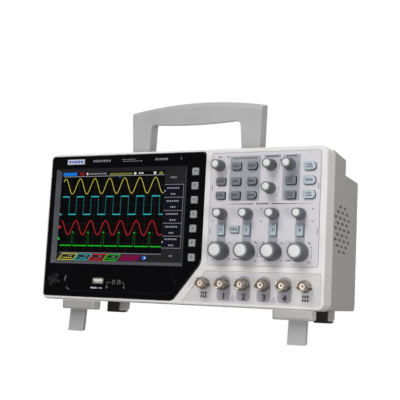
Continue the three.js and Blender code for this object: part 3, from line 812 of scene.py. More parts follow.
def panel_marks():
    """The generic marks along the top of the black panel and round the power key."""
    badge = Build()
    badge.mark(rounded(-136.5, -114.5, 146.2, 151.6, 0.5, 3), PANEL_INK, 0.05)
    add_piece("badge_plate", badge, ["pale_ink"])
    inset = Build()
    for i in range(5):
        inset.patch(-134.6 + i * 3.8, -131.6 + i * 3.8, 147.6, 150.2, PANEL_INK - 0.03, 0.03)
    add_piece("badge_bars", inset, ["blue_ink"])
    marks = Build()
    groups = (
        (-103.5, -81.0, 148.0, 150.4, 7),
        (-68.0, -50.5, 149.6, 150.4, 5),
        (-66.5, -42.0, 147.6, 148.4, 6),
        (-27.8, -12.4, 148.0, 150.2, 6),
    )
    for left, right, bottom, top, count in groups:
        marks.bars(left, right, bottom, top, count, PANEL_INK, 0.72)
    marks.mark([(2.0, 148.4), (3.2, 148.4), (2.6, 151.6)], PANEL_INK)
    add_piece("panel_marks", marks, ["dim_ink"])
    power = BOX["button_power"]
    ring = Build()
    radius = (power.x1 - power.x0) / 2 + 0.3
    pairs = [(grow(circle(power.x, power.z, radius), 0.55 * math.cos(t)), PANEL_INK - 0.5 * math.sin(t))
             for t in [math.pi * i / 10 for i in range(11)]]
    rings = ring.rings(pairs)
    ring.wall(*rings, rings[0])
    add_piece("power_ring", ring, ["panel_black"])
    symbol = Build()
    ink = power.y0 - INK_THICK
    symbol.strip(arc(power.x, power.z, 1.9, 120, 420, 24), 0.42, ink)
    symbol.patch(power.x - 0.22, power.x + 0.22, power.z + 0.6, power.z + 2.6, ink)
    add_piece("power_symbol", symbol, ["symbol_ink"], body="button_power")


# ---------------------------------------------------------------- the display's picture

WAVE_LEFT, WAVE_RIGHT, WAVE_BOTTOM, WAVE_TOP = -142.6, -17.0, 51.5, 132.6
PERIOD = 18.58
FIRST_CREST = -139.4
TRACE_LEFT = WAVE_LEFT + 0.6
PICTURE_THICK = 0.03
PICTURE_STEP = 0.05  # how far each level of the picture lies in front of the one before


def lcd():
    glass = Build()
    glass.slab(DISPLAY, LCD.y0, LCD.y1, 0.3, 2)
    add_piece("lcd_panel", glass, ["screen_black"], stands_for=["lcd_module"])


class Picture:
    """One colour of the display's picture, at a small distance in front of the glass."""

    def __init__(self, level):
        self.build = Build()
        self.front = LCD.y0 - PICTURE_STEP * level

    def patch(self, left, right, bottom, top):
        self.build.patch(left, right, bottom, top, self.front, PICTURE_THICK)

    def strip(self, points, width):
        self.build.strip(points, width, self.front, PICTURE_THICK)

    def shape(self, points):
        self.build.mark(points, self.front, PICTURE_THICK)

    def words(self, left, right, z, height, count):
        """A row of short bars in the place of a word."""
        self.build.bars(left, right, z - height / 2, z + height / 2, count, self.front, 0.6, PICTURE_THICK)

    def add(self, name, finish):
        add_piece(name, self.build, [finish])


def sine(middle, swing, crest, period=PERIOD):
    count = 260
    step = (WAVE_RIGHT - WAVE_LEFT) / count
    xs = [TRACE_LEFT + (step - 0.0045) * i for i in range(count + 1)]
    return [(x, middle + swing * math.cos(2 * math.pi * (x - crest) / period)) for x in xs]


def square(low, high, centre, share, thick, build, uprights):
    """A square wave: thick level stretches joined by thinner upright ones."""
    count = int((WAVE_RIGHT - WAVE_LEFT) / PERIOD) + 2
    for i in range(count):
        rise = centre + i * PERIOD - share * PERIOD / 2
        fall = centre + i * PERIOD + share * PERIOD / 2
        after = rise + PERIOD
        for start, stop, z in ((rise, fall, high), (fall, after, low)):
            start, stop = max(start, TRACE_LEFT), min(stop, WAVE_RIGHT - 0.4)
            if stop - start > 0.3:
                build.patch(start, stop, z - thick / 2, z + thick / 2)
        for x in (rise, fall):
            if TRACE_LEFT < x < WAVE_RIGHT - 1:
                uprights.patch(x - 0.2, x + 0.2, low - thick / 2, high + thick / 2)


def picture():
    base = Picture(1)
    base.patch(WAVE_LEFT - 2, WAVE_RIGHT, WINDOW[2] - 1, WAVE_BOTTOM - 1)
    base.patch(WAVE_RIGHT, WINDOW[1] + 1, WINDOW[2] - 1, WINDOW[3] + 1)
    base.add("screen_grey_areas", "screen_grey")

    navy = Picture(2)
    rows = [122.9, 109.5, 95.9, 82.7, 69.4, 57.2]
    for top, bottom in zip(rows, rows[1:]):
        navy.patch(WAVE_RIGHT + 0.4, WINDOW[1] - 1.6, bottom + 0.4, top - 0.4)
    navy.add("screen_menu_boxes", "screen_navy")

    grid = Picture(1)
    for i in range(1, 12):
        x = WAVE_LEFT + (WAVE_RIGHT - WAVE_LEFT) * i / 12
        for j in range(40):
            z = WAVE_BOTTOM + (WAVE_TOP - WAVE_BOTTOM) * (j + 0.25) / 40
            grid.patch(x - 0.14, x + 0.14, z, z + 0.95)
    for i in range(1, 8):
        z = WAVE_BOTTOM + (WAVE_TOP - WAVE_BOTTOM) * i / 8
        for j in range(60):
            x = WAVE_LEFT + (WAVE_RIGHT - WAVE_LEFT) * (j + 0.25) / 60
            grid.patch(x, x + 1.0, z - 0.14, z + 0.14)
    grid.add("screen_grid", "screen_grid")

    pale = Picture(3)
    pale.patch(WAVE_LEFT, WAVE_RIGHT - 0.6, 133.1, 133.7)
    pale.patch(WAVE_LEFT + 1, WAVE_RIGHT, 50.5, 51.0)
    for z in rows:
        pale.patch(WAVE_RIGHT + 0.4, WINDOW[1] - 1.6, z - 0.2, z + 0.2)
    pale.patch(WINDOW[1] - 1.9, WINDOW[1] - 1.6, rows[-1], rows[0])
    pale.words(-10.2, -3.0, 130.4, 1.5, 4)
    for i, (top, bottom) in enumerate(zip(rows, rows[1:])):
        middle = (top + bottom) / 2
        pale.words(-13.6, 0.8, middle + 3.0, 1.5, 7)
        pale.words(-9.0, -3.4 + i % 3, middle - 3.2, 1.5, 3)
    pale.words(-7.4, -3.6, 49.2, 1.5, 2)
    pale.words(-109.6, -87.0, 136.1, 1.5, 10)
    for left, right in ((-129.5, -124.5), (-109.5, -105.0), (-91.5, -87.0), (-74.5, -70.5)):
        pale.words(left, right, 47.4, 0.9, 3)
    pale.add("screen_pale_marks", "screen_pale")

    white = Picture(3)
    white.patch(-113.4, -111.3, 135.0, 137.3)
    white.patch(-54.2, -51.6, 134.2, 136.6)
    white.words(-48.4, -42.2, 135.6, 1.7, 3)
    white.shape([(-29.8, 133.9), (-28.4, 133.9), (-27.2, 136.7), (-31.0, 136.7)])
    for z in (116.4, 63.4):
        white.shape([(-16.6, z - 0.9), (-15.2, z), (-16.6, z + 0.9)])
    white.shape(circle(-35.4, 46.8, 0.9, 16))
    white.add("screen_white_marks", "screen_white")

    blue = Picture(2)
    blue.patch(-143.4, -125.6, 134.5, 138.0)
    blue.shape(circle(-36.6, 46.6, 2.2, 24))
    blue.shape([(-72.2, 132.4), (-71.3, 130.4), (-70.4, 132.4)])
    blue.add("screen_blue_marks", "screen_blue")

    dark_red = Picture(2)
    dark_red.patch(-122.4, -115.8, 134.6, 137.8)
    dark_red.add("screen_status_mark", "screen_dark_red")

    olive = Picture(2)
    for i in range(14):
        left = -84.0 + i * 1.98
        olive.patch(left, left + 1.4, 134.2 + 0.3 * (i % 2), 136.6 - 0.2 * (i % 3))
    olive.patch(-84.0, -56.4, 134.9, 135.7)
    olive.patch(-24.0, -19.8, 133.9, 136.6)
    olive.add("screen_memory_bar", "screen_olive")

    yellow = Picture(4)
    yellow.strip(sine(122.6, 8.3, FIRST_CREST), 0.62)
    label_outline(yellow, -143.2, -124.0)
    yellow.add("screen_trace_1", "screen_yellow")

    cyan = Picture(5)
    teal = Picture(5)
    square(92.0, 111.2, FIRST_CREST + 1.5, 0.5, 1.1, cyan, teal)
    teal.add("screen_trace_2_edges", "screen_teal")
    cyan.patch(-144.9, -142.6, 91.2, 92.9)
    label_outline(cyan, -122.4, -105.4)
    cyan.add("screen_trace_2", "screen_cyan")

    red = Picture(6)
    red.strip(sine(77.6, 7.7, FIRST_CREST - 2.3, 18.75), 0.6)
    red.patch(-144.7, -142.4, 76.8, 79.6)
    label_outline(red, -103.8, -86.9)
    red.add("screen_trace_3", "screen_red")

    green = Picture(7)
    pulses = Picture(7)
    start = TRACE_LEFT
    for i in range(6):
        x = -126.2 + 19.75 * i - 0.16 * i * i
        green.patch(start, x - 1.0, 57.9, 58.9)
        green.patch(x - 0.8, x + 0.8, 72.2, 73.4)
        start = x + 1.0
        for offset in (-1.0, 1.0):
            for j in range(9):
                bottom = 57.8 + j * 1.7
                pulses.patch(x + offset - 0.2, x + offset + 0.2, bottom, bottom + 1.1)
    green.patch(start, WAVE_RIGHT - 0.4, 57.9, 58.9)
    pulses.add("screen_trace_4_pulses", "screen_dark_green")
    green.patch(-144.9, -142.8, 64.2, 66.8)
    label_outline(green, -85.4, -70.2)
    green.add("screen_trace_4", "screen_green")

    magenta = Picture(2)
    magenta.shape(slanted(-68.6, -44.4, 42.9, 49.4))
    magenta.add("screen_reading", "screen_magenta")
    reading = Picture(4)
    reading.words(-63.0, -44.0, 47.4, 1.6, 6)
    reading.words(-65.0, -46.0, 44.9, 1.6, 6)
    reading.add("screen_reading_words", "screen_dark_red")


LABEL_SLANT = 5.4


def slanted(left, right, bottom, top):
    return [(left, bottom), (right, bottom), (right + LABEL_SLANT, top), (left + LABEL_SLANT, top)]


def label_outline(picture, left, right):
    """A channel's label at the foot of the display: a slanted box drawn in outline."""
    picture.build.closed_line(slanted(left, right, 43.1, 49.3), 0.7, picture.front, PICTURE_THICK)
    inner = left + 3.4
    picture.strip([(inner, 44.6), (inner + 1.2, 47.0), (inner + 2.4, 44.8)], 0.5)
    picture.words(inner + 4, right - 0.5, 45.2, 1.2, 4)


# ---------------------------------------------------------------- the control film and its print


def pierced(outline, holes, front, back, edge=0.0):
    """A plate with holes through it, and a round edge on its front if that is asked for."""
    build = Build()
    skin = build.sleeve((rim(outline, front, edge, 2) if edge else [(outline, front)]) + [(outline, back)])
    sides = [build.sleeve([(hole, front), (hole, back)]) for hole in holes]
    build.cap(skin[0], *[rings[0] for rings in sides])
    build.cap(skin[-1], *[rings[-1] for rings in sides])
    return build


def overlay_film():
    film = pierced(FILM_OUTLINE, [opening(node) for node in FILM_NODES], OVERLAY.y0, OVERLAY.y1, 0.12)
    add_piece("control_film", film, ["overlay_film"], stands_for=["control_overlay"])


AREA_THICK = 0.05


def printed(name, outline, holes, front, finish):
    """An area of ink on a film, with the openings of the keys and knobs in it left free."""
    add_piece(name, pierced(outline, holes, front, front + AREA_THICK), [finish])


ZONE_BOTTOM, ZONE_TOP = 104.6, 149.6
STRIPE_WIDTH = 9.6


def inside(node, left, right, bottom, top):
    box = BOX[node]
    return left < box.x0 and box.x1 < right and bottom < box.z0 and box.z1 < top


def film_zones():
    front = OVERLAY.y0 - AREA_THICK
    zones = {"menu": (57.3, 90.0), "trigger": (113.2, 131.0)}
    for name, (left, right) in zones.items():
        holes = [opening(node) for node in FILM_NODES if inside(node, left, right, ZONE_BOTTOM, ZONE_TOP)]
        outline = rounded(left, right, ZONE_BOTTOM, ZONE_TOP, 1.2, 4)
        printed(f"print_zone_{name}", outline, holes, front, "zone_ink")
    printed("print_zone_horizontal", rounded(93.6, 111.0, 147.0, 149.9, 0.6, 3), [], front, "zone_ink")
    for i, x in enumerate(COLUMNS, 1):
        top = BOX[f"knob_position_{i}"].z - SHAFT - KEY_CLEARANCE - 0.4
        bottom = BOX[f"knob_scale_{i}"].z + SHAFT + KEY_CLEARANCE + 0.4
        outline = rounded(x - STRIPE_WIDTH / 2, x + STRIPE_WIDTH / 2, bottom, top, 0.3, 2)
        printed(f"print_stripe_{i}", outline, [opening(f"button_channel_{i}")], front, "stripe_ink")


def tapered(build, point, end, z, thick, front):
    """A line that is thick at its end and runs out to a point at the other."""
    corners = [(point, z - 0.05), (end, z - thick / 2), (end, z + thick / 2), (point, z + 0.05)]
    build.mark(corners if point < end else corners[1::-1] + corners[:1:-1], front)


def film_marks():
    front = OVERLAY.y0 - 0.1
    marks = Build()
    tapered(marks, 51.0, 83.8, 101.6, 1.0, front)
    tapered(marks, 144.2, 103.4, 101.6, 1.0, front)
    for x, z, width, height, count in (
        (93.6, 101.8, 13.6, 1.7, 8),
        (73.6, 147.2, 26, 1.2, 14),
        (102.3, 148.4, 14, 1.4, 9),
        (122.2, 148.2, 10.4, 1.5, 7),
        (46.6, 149.0, 4.2, 1.3, 2),
    ):
        marks.word(x, z, width, height, front, count)
    marks.mark(circle(55.0, 148.9, 0.95, 16), front)
    marks.mark(circle(110.4, 144.4, 0.8, 16), front)
    # small arrows that point up and down beside the position knobs
    for x in (40.8, 92.9, 144.8):
        for z, way in ((97.0, 1), (84.4, -1)):
            marks.mark([(x - 0.9, z - 0.8 * way), (x, z + 0.9 * way), (x + 0.9, z - 0.8 * way)][::way], front)
    # upright dashes at the film's sides
    for x, z in ((38.9, 118.2), (38.9, 74.6), (149.9, 118.2), (149.9, 75.0)):
        marks.patch(x - 0.3, x + 0.3, z - 2.9, z + 2.9, front)
    # curved marks beside the small knobs
    for knob in ("knob_multipurpose", "knob_time_position", "knob_time_scale", "knob_trigger_level"):
        box = BOX[knob]
        marks.strip(arc(box.x, box.z, 8.3, -38, 14, 8), 0.35, front)
        marks.patch(box.x + 5.4, box.x + 7.6, box.z - 7.0, box.z - 6.5, front)
    # the ends of each scale knob's range: a coarse and a fine wave, and the arc between them
    z = BOX["knob_scale_1"].z
    for i, x in enumerate(COLUMNS):
        side = 1 if i % 2 else -1
        for turn, high, bold in ((42, 1.0, 0.6), (-44, 0.9, 0.75), (138, 0.5, 0.45), (-138, 0.5, 0.5)):
            far = 12.9 if i % 2 and turn in (42, -44) else 12.2
            cx = x + side * abs(far * math.cos(math.radians(turn))) * (1 if abs(turn) < 90 else -1)
            cz = z + far * math.sin(math.radians(turn))
            if OVERLAY.x0 + 2 < cx < OVERLAY.x1 - 1.5:
                wave = [(cx - 1.6 + 0.213 * k, cz + high * math.sin(math.tau * k / 15)) for k in range(16)]
                marks.strip(wave, bold, front)
        for turn in (22, -22):
            cx, cz = x + side * 12.6 * math.cos(math.radians(turn)), z + 12.6 * math.sin(math.radians(turn))
            marks.mark(circle(cx, cz, 0.55, 10), front)
        start = -20 if side > 0 else 164
        marks.strip(arc(x, z, 12.0, start, start + 36, 10), 0.3, front)
        if side > 0:
            marks.strip(arc(x, z, 11.4, 158, 196, 10), 0.45, front)
            marks.word(x - 11.6, z - 8.2, 4.4, 1.4, front, 2)
    add_piece("film_marks", marks, ["dark_ink"])


FONT_SIZE = 1.43  # the font's size, in heights of its digits


def digit(name, text, x, z, height, front, body="root", bold=0.035):
    """One printed digit, centred on a point."""
    data = bpy.data.curves.new(name + "_outline", "FONT")
    data.body = text
    data.size = height * FONT_SIZE * MM
    data.align_x = "CENTER"
    data.extrude = INK_THICK / 2 * MM
    data.offset = bold * height * MM
    source = bpy.data.objects.new(name + "_outline", data)
    bpy.context.scene.collection.objects.link(source)
    bpy.context.view_layer.update()
    depsgraph = bpy.context.evaluated_depsgraph_get()
    made = bpy.data.meshes.new_from_object(source.evaluated_get(depsgraph))
    bpy.data.objects.remove(source)
    made.name = name
    made.materials.clear()
    stand = Matrix.Translation(Vector((x, front, z - height / 2)) * MM) @ Matrix.Rotation(math.pi / 2, 4, "X")
    add_object(name, made, ["dark_ink"], body, [], BODY @ stand)


def socket_field_print():
    """The film on the socket field, the patches behind the channels' sockets, and their digits."""
    front = FIELD_DEEP - 0.06
    holes = [thread_hole(socket) for socket in SOCKETS]
    printed("socket_film", field_outline(-1.1), holes, front, "socket_field_film")
    for i, socket in enumerate(CHANNEL_SOCKETS, 1):
        box = BOX[socket]
        outline = rounded(box.x - 7.1, box.x + 7.1, 6.6, 31.4, (3.4, 3.4, 7.0, 7.0), 10)
        printed(f"socket_patch_{i}", outline, [thread_hole(socket)], front - 0.05, "patch_ink")
        digit(f"socket_digit_{i}", str(i), box.x + 0.3, 11.2, 5.8, front - 0.08, bold=0.05)
    marks = Build()
    ink = front - 0.06
    for socket in (SOCKETS[0], SOCKETS[-1]):
        marks.word(BOX[socket].x + 0.2, 13.4, 7.2, 2.5, ink, 3)
        marks.word(BOX[socket].x + 0.2, 9.9, 7.4, 2.5, ink, 3)
    add_piece("socket_words", marks, ["dark_ink"])
    notes = Build()
    for first, second in ((0, 1), (2, 3)):
        x = (BOX[CHANNEL_SOCKETS[first]].x + BOX[CHANNEL_SOCKETS[second]].x) / 2 - 0.3
        notes.closed_line([(x - 1.6, 9.4), (x + 1.6, 9.4), (x, 12.2)], 0.4, ink)
        notes.word(x, 8.0, 6.0, 0.7, ink, 4)
        notes.word(x, 6.8, 5.0, 0.7, ink, 3)
    add_piece("socket_notes", notes, ["note_ink"])


# ---------------------------------------------------------------- keys, knobs and sockets

KEY_FINISHES = {
    "menu": ("key_grey", "key_grey_side", "key_grey"),
    "round": ("key_grey", "key_grey_side", "key_grey"),
    "blue": ("key_blue", "key_blue_side", "key_blue"),
    "channel": ("key_blue", "key_blue_side", "key_blue"),
    "soft": ("key_soft", "key_soft_side", "key_soft"),
    "power": ("key_black", "key_black", "panel_black"),
}
KEY_EDGE = 0.6


def key(name):
    """A keycap with a round edge and a gently crowned face."""
    top = BOX[name].y0
    outline = key_outline(name)
    crown = 0.18
    build = Build()
    face = build.rings([(grow(outline, -KEY_EDGE - 1.3), top), (grow(outline, -KEY_EDGE), top + crown)])
    rounding = rim(outline, top + crown, KEY_EDGE, 4)
    edge = build.rings(rounding[1:3])
    side = build.rings(rounding[3:] + [(grow(outline, 0.1), FRONT_WALL)])
    build.wall(*face, *edge)
    build.wall(edge[-1], *side, finish=1)
    build.cap(face[0])
    build.cap(side[-1], finish=1)
    cap, skirt, slot = KEY_FINISHES["blue" if name in RUN_KEYS else kind_of(name)]
    add_piece(name + "_cap", build, [cap, skirt], body=name, stands_for=[name])


def key_legends():
    for name in KEYS:
        box = BOX[name]
        front = box.y0 - 0.05
        legend = name + "_legend"
        if "channel" in name:
            digit(legend, name[-1], box.x, box.z, 3.0, front + 0.02, body=name)
            continue
        if name == "button_power":
            continue
        build = Build()
        number = KEYS.index(name)
        if "soft" in name:
            build.patch(box.x - 1.4, box.x + 1.4, box.z + 0.5, box.z + 1.1, front)
            build.patch(box.x - 0.35, box.x + 0.35, box.z - 1.5, box.z + 0.5, front)
        elif "trigger" in name or name in ("button_run", "button_auto"):
            build.word(box.x, box.z + 1.15, 5.2, 1.35, front, 3)
            build.word(box.x, box.z - 1.15, 6.2, 1.35, front, 4)
        else:
            build.word(box.x, box.z, 6.4 + 0.5 * (number % 3), 1.9, front, 4 + number % 2)
        add_piece(legend, build, ["dark_ink"], body=name)


def fluted(x, z, radius, deep, flutes, per=6):
    """A circle with shallow flutes round it."""
    points = []
    for i in range(flutes * per):
        turn = math.tau * i / (flutes * per)
        r = radius - deep * (0.5 - 0.5 * math.cos(flutes * turn))
        points.append((x + r * math.cos(turn), z + r * math.sin(turn)))
    return points


KNOB_SIZES = {
    "small": {"tip": 4.7, "cap": 3.4, "flutes": 22, "deep": 0.62},
    "large": {"tip": 7.6, "cap": 5.8, "flutes": 30, "deep": 0.85},
}


def knob(name):
    """A tapered knob with a fluted side, a plain skirt and a pale cap set in its end."""
    box = BOX[name]
    base = (box.x1 - box.x0) / 2
    size = KNOB_SIZES["large" if "scale" in name and "time" not in name else "small"]
    tip, cap, flutes, deep = size["tip"], size["cap"], size["flutes"], size["deep"]
    front, seat = box.y0, OVERLAY.y0 - KEY_CLEARANCE
    end = [
        (cap + 0.08, front + 0.7), (cap + 0.08, front + 0.12), (cap + 0.22, front), (tip - 0.45, front),
        (tip - 0.12, front + 0.14), (tip, front + 0.5), (tip + 0.06, front + 0.9),
    ]
    slope = []
    slope_start, slope_end = front + 1.3, seat - 3.4
    steps = 6
    for i in range(steps + 1):
        t = i / steps
        radius = tip + 0.1 + (base - 0.35 - tip) * t**0.85
        slope.append((radius, slope_start + (slope_end - slope_start) * t))
    skirt = [
        (base - 0.12, seat - 2.9), (base, seat - 2.2), (base, seat - 0.5), (base - 0.15, seat - 0.15),
        (base - 0.5, seat), (SHAFT, seat), (SHAFT, FRONT_WALL - 0.2),
    ]
    build = Build()
    build.solid([
        (fluted(box.x, box.z, radius, depth, flutes), y)
        for profile, depth in ((end, 0), (slope, deep), (skirt, 0))
        for radius, y in profile
    ])
    add_piece(name + "_body", build, ["knob_grey"], body=name, stands_for=[name])
    insert = Build()
    insert.turned([
        (cap * 0.4, front - 0.3), (cap * 0.75, front - 0.24), (cap - 0.3, front - 0.1),
        (cap - 0.06, front + 0.1), (cap, front + 0.3), (cap, front + 0.65),
    ], box.x, box.z, 56)
    add_piece(name + "_insert", insert, ["cap_white"], body=name)


LUG_TURN = 14  # degrees that the lugs are turned down on the right


def socket(name):
    """A coaxial socket: plated body with its two lugs, white insulator and gold contact."""
    box = BOX[name]
    x, z, tip = box.x, box.z, box.y0
    bore, barrel, collar = 4.35, 5.15, 5.85
    shell = Build()
    shell.turned([
        (bore, -4.6), (bore, tip + 0.35), (bore + 0.12, tip + 0.1), (bore + 0.3, tip), (barrel - 0.15, tip),
        (barrel, tip + 0.2), (barrel, -9.6), (barrel - 0.14, -9.4), (barrel - 0.14, -8.9), (barrel, -8.7),
        (barrel, -4.9), (barrel + 0.35, -4.5), (barrel + 0.35, -4.1), (collar - 0.2, -3.9), (collar, -3.7),
        (collar, -1.5), (collar - 0.2, -1.3), (collar - 0.2, -0.9), (collar, -0.7), (collar, FIELD_DEEP - 0.3),
        (THREAD, FIELD_DEEP - 0.2), (THREAD, 8.0),
    ], x, z, 56)
    add_piece(name + "_shell", shell, ["nickel"], stands_for=[name])
    lugs = Build()
    for side in (-1, 1):
        pairs = [(circle(-3.0, z, radius, 20), x + side * reach) for radius, reach in
                 ((0.75, 7.6), (1.05, 7.35), (1.05, 4.9))]
        lugs.solid(pairs, from_side)
    turn = Matrix.Translation(Vector((x, 0, z)) * MM) @ Matrix.Rotation(math.radians(LUG_TURN), 4, "Y")
    turn = turn @ Matrix.Translation(Vector((-x, 0, -z)) * MM)
    bmesh.ops.transform(lugs.mesh, matrix=turn, verts=lugs.mesh.verts)
    # The lugs are darkened nickel: painted shade.
    add_piece(name + "_lugs", lugs, ["shaded_nickel"])
    insulator = Build()
    hole, post, front = 1.15, 2.75, -9.3
    insulator.turned([
        (hole, -5.8), (hole, front + 0.2), (hole + 0.12, front + 0.05), (post - 0.15, front),
        (post, front + 0.15), (post, -6.6), (bore - 0.35, -6.6), (bore - 0.12, -6.4), (bore - 0.12, -4.7),
    ], x, z, 40)
    add_piece(name + "_insulator", insulator, ["insulator"])
    contact = Build()
    contact.turned([
        (0.45, -6.3), (0.45, front + 0.4), (0.6, front + 0.2), (0.85, front + 0.25), (1.02, front + 0.5),
        (1.02, -6.0),
    ], x, z, 24)
    add_piece(name + "_contact", contact, ["gold"])


# ---------------------------------------------------------------- handle, legs and feet

HANDLE_THICK = 16.0
HANDLE_LEAN = 3.6
HANDLE_STEPS = 6
HANDLE_RISE = 0.28  # slope of the grip's top and underside, upwards to the back
LEG_LEAN = -5.1
LEG_RADIUS = 2.6  # of its round top, which is half its thickness
PIN_LENGTH = 2.6


def handle():
    """The arched carrying handle about its pins, drawn standing straight up."""
    outer, inner = (74.8, 77.0), (55.0, 52.3)
    corner, crown, under, belly, low = 62.4, 69.0, 47.8, 45.9, 0.0
    half = HANDLE_THICK / 2
    top = curve((outer[1] - 1.2, corner), (0, 2 * crown - corner), (1.2 - outer[1], corner), 36)
    right_inner = curve((inner[1], under - 4.2), (inner[1] - 0.3, under), (inner[1] - 4.6, under), 8)
    bottom = curve((inner[1] - 4.6, under), (0, 2 * belly - under), (4.6 - inner[1], under), 30)
    left_inner = curve((4.6 - inner[1], under), (0.3 - inner[1], under), (-inner[1], under - 4.2), 8)
    points = (
        [(outer[0], low), (outer[1], corner - 1.4)]
        + curve((outer[1], corner - 1.4), (outer[1], corner), (outer[1] - 1.2, corner), 4)
        + top
        + curve((1.2 - outer[1], corner), (-outer[1], corner), (-outer[1], corner - 1.4), 4)
        + [(-outer[0], low), (-inner[0], low)]
        + left_inner[::-1] + bottom[::-1] + right_inner[::-1]
        + [(inner[0], low)]
    )
    points = without_repeats(points)
    build = Build()
    pairs = []
    for i in range(HANDLE_STEPS + 1):
        turn = math.pi / 2 * i / HANDLE_STEPS
        share = 1 - math.sin(turn)
        ring = []
        for (x, z), (near_x, near_z) in zip(points, grow(points, -1.1 * share)):
            if z > corner - 1.5:
                near_z = z - 3.4 * share  # the top is rounded most
            elif z > under - 4.3 and abs(x) < inner[0]:
                near_z += 0.9 * share
            ring.append((near_x, near_z))
        pairs.append((ring, 2.4 * (1 - math.cos(turn)) - half))
    pairs += [(ring, -depth) for ring, depth in pairs[::-1]]
    build.solid(pairs)
    for vertex in build.mesh.verts:
        if vertex.co.z > under / 2 * MM:
            vertex.co.z += HANDLE_RISE * vertex.co.y
    for side in (-1, 1):
        hub = [(circle(0, 0, half - 0.8 + 0.8 * math.sin(t), 40), x) for t, x in (
            (0, 55.0), (0.6, 55.2), (1.57, 55.8), (1.57, 73.4), (0.6, 74.0), (0, 74.2))]
        hub += [(circle(0, 0, 3.5, 40), 74.2), (circle(0, 0, 3.5, 40), 78.4), (circle(0, 0, 3.1, 40), 78.8)]
        build.solid([(outline, side * x) for outline, x in hub], from_side)
    add_piece("handle_moulding", build, ["light_plastic"], body="handle",
              stands_for=["handle"], matrix=hinge_matrix("handle_fold", HANDLE_LEAN))


def legs():
    for name in ("leg_left", "leg_right"):
        box = BOX[name]
        half = (box.x1 - box.x0) / 2 - PIN_LENGTH
        matrix = hinge_matrix(name + "_fold", LEG_LEAN)
        back = matrix.inverted()
        points = [back @ vertex.co / MM for vertex in frame["nodes"][name].data.vertices]
        low = min(point.z for point in points)
        rear_low = min(point.z for point in points if point.y > LEG_RADIUS - 0.1)
        foot = [(-LEG_RADIUS, low), (LEG_RADIUS, rear_low)]
        profile = without_repeats(foot + arc(0, 0, LEG_RADIUS, 0, 180, 12))
        build = Build()
        build.slab(profile, -half, half, 0.45, 3, plane=from_side)
        build.solid([(circle(0, 0, 1.6, 20), x) for x in (-half - PIN_LENGTH, half + PIN_LENGTH)], from_side)
        add_piece(name + "_moulding", build, ["light_plastic"], body=name, stands_for=[name],
                  matrix=matrix)


# ---------------------------------------------------------------- casing, feet and inside


SHADE_SHEET_FACE = 153.9  # how far out the dark sheets behind the side vents reach: painted shade inside the vents


def in_vents(place):
    """Whether a place on the casing is among the side vents or the slots in the back."""
    at_side = abs(place.x) > 150 and 24 < place.y < 90 and 50 < place.z < 115
    return at_side or (abs(place.x) < 118 and place.y > 100 and 18 < place.z < 122)


def in_leg_slot(place):
    """Whether a place on a front foot is where the leg goes in, or on its flat top."""
    return place.z > -0.5 or (116 < abs(place.x) < 135.7 and place.y > 22)


def casing():
    soften("rear_case", "case_grey", (2.0, 0.8), sharp=in_vents)
    for side, sign in (("left", -1), ("right", 1)):
        # A dark sheet behind each side vent: painted shade, so that the holes read dark.
        shade_sheet = Build()
        face = sign * SHADE_SHEET_FACE
        shade_sheet.slab(rounded(26, 88, 52, 113, 3, 4), face, face + 0.7, 0.1, 1, plane=from_side)
        add_piece(f"vent_shade_sheet_{side}", shade_sheet, ["slot_black"])
        soften(f"front_foot_{side}", "foot_plastic", (2.2, 2.2), segments=4, sharp=in_leg_slot)
        soften(f"rubber_foot_{side}", "rubber", (0.5, 0.5))
    soften("mains_inlet", "slot_black", (0.35, 0.35))
    for node, finish in (
        ("control_board", "circuit_board"),
        ("main_board", "circuit_board"),
        ("power_supply", "plated_steel"),
    ):
        materials = frame["nodes"][node].data.materials
        materials.clear()
        materials.append(FINISHES[finish])


# ---------------------------------------------------------------- studio

WHITE = (1, 1, 1, 1)
# The light of the surround, as ranges: from low, from high, to low, to high.
BEHIND = (-0.3, 0.45, 0.07, 1.02)  # by how far back a direction points: white behind, dim in front
HORIZON = (0.05, 0.11, 1.02, 0.0)  # by how steep it is: a white band, so that the floor runs into it
FROM_BELOW = (-0.3, -0.05, 0.35, 1.0)  # by its height: less light from below
FLOOR_RADIUS = 12000
# name, place, target, size and power
LAMPS = (
    ("key_light", (-0.15, -1.05, 1.5), (0, 0, 0.1), 0.8, 20.5),
    ("side_light", (0.75, -0.6, 0.06), (0, 0, 0.06), 0.4, 3.5),
    ("low_light", (0.1, -1.4, 0.12), (-0.05, 0, 0.0), 0.5, 5.5),
)


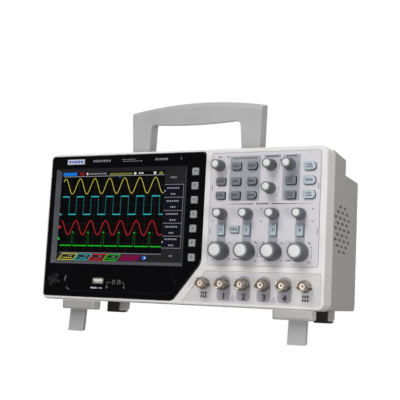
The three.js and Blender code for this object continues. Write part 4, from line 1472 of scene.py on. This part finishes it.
def surround(scene):
    """A world that is white behind the instrument and dim before it."""
    world = bpy.data.worlds.new("studio")
    scene.world = world
    world.use_nodes = True
    tree = world.node_tree

    def calculated(operation, *values):
        node = tree.nodes.new("ShaderNodeMath")
        node.operation = operation
        for value, socket in zip(values, node.inputs):
            tree.links.new(value, socket)
        return node.outputs["Value"]

    place = tree.nodes.new("ShaderNodeTexCoord")
    split = tree.nodes.new("ShaderNodeSeparateXYZ")
    tree.links.new(place.outputs["Generated"], split.inputs["Vector"])
    back, up = split.outputs["Y"], split.outputs["Z"]
    band = map_range(tree, calculated("ABSOLUTE", up), HORIZON)
    both = calculated("MAXIMUM", map_range(tree, back, BEHIND), band)
    total = calculated("MULTIPLY", both, map_range(tree, up, FROM_BELOW))
    tree.links.new(total, tree.nodes["Background"].inputs["Strength"])
    tree.nodes["Background"].inputs["Color"].default_value = WHITE


def studio():
    """A pale floor that throws no light on the instrument, the surround, and three soft lamps."""
    scene = bpy.context.scene
    scene.view_settings.view_transform = "Standard"
    surround(scene)

    disc = Build()
    disc.slab(circle(0, 0, FLOOR_RADIUS, 96), 0, 1)
    data = bpy.data.meshes.new("floor")
    disc.mesh.to_mesh(data)
    disc.mesh.free()
    finish = moulded("floor_white", (40, 40, 40), 0.9, grain=3, deep=0.0, mottle=0.01, specular=0.0)
    shader = finish.node_tree.nodes["Principled BSDF"]
    shader.inputs["Emission Color"].default_value = WHITE
    shader.inputs["Emission Strength"].default_value = 1.0
    data.materials.append(finish)
    floor = bpy.data.objects.new("floor", data)
    floor.rotation_euler = (-math.pi / 2, 0, 0)
    floor.location = (0, 0, -0.001)
    floor.visible_diffuse = False
    floor.visible_glossy = False
    scene.collection.objects.link(floor)

    for name, place, target, size, power in LAMPS:
        light = bpy.data.lights.new(name, "AREA")
        light.size = size
        light.energy = power
        lamp = bpy.data.objects.new(name, light)
        lamp.location = place
        lamp.rotation_euler = (Vector(target) - Vector(place)).to_track_quat("-Z", "Y").to_euler()
        lamp.visible_camera = False
        scene.collection.objects.link(lamp)


# ---------------------------------------------------------------- everything

studio()
front_bezel()
screen_panel()
ports()
panel_marks()
lcd()
picture()
overlay_film()
film_zones()
film_marks()
socket_field_print()
for name in KEYS:
    key(name)
key_legends()
for name in KNOBS:
    knob(name)
for name in SOCKETS:
    socket(name)
handle()
legs()
casing()
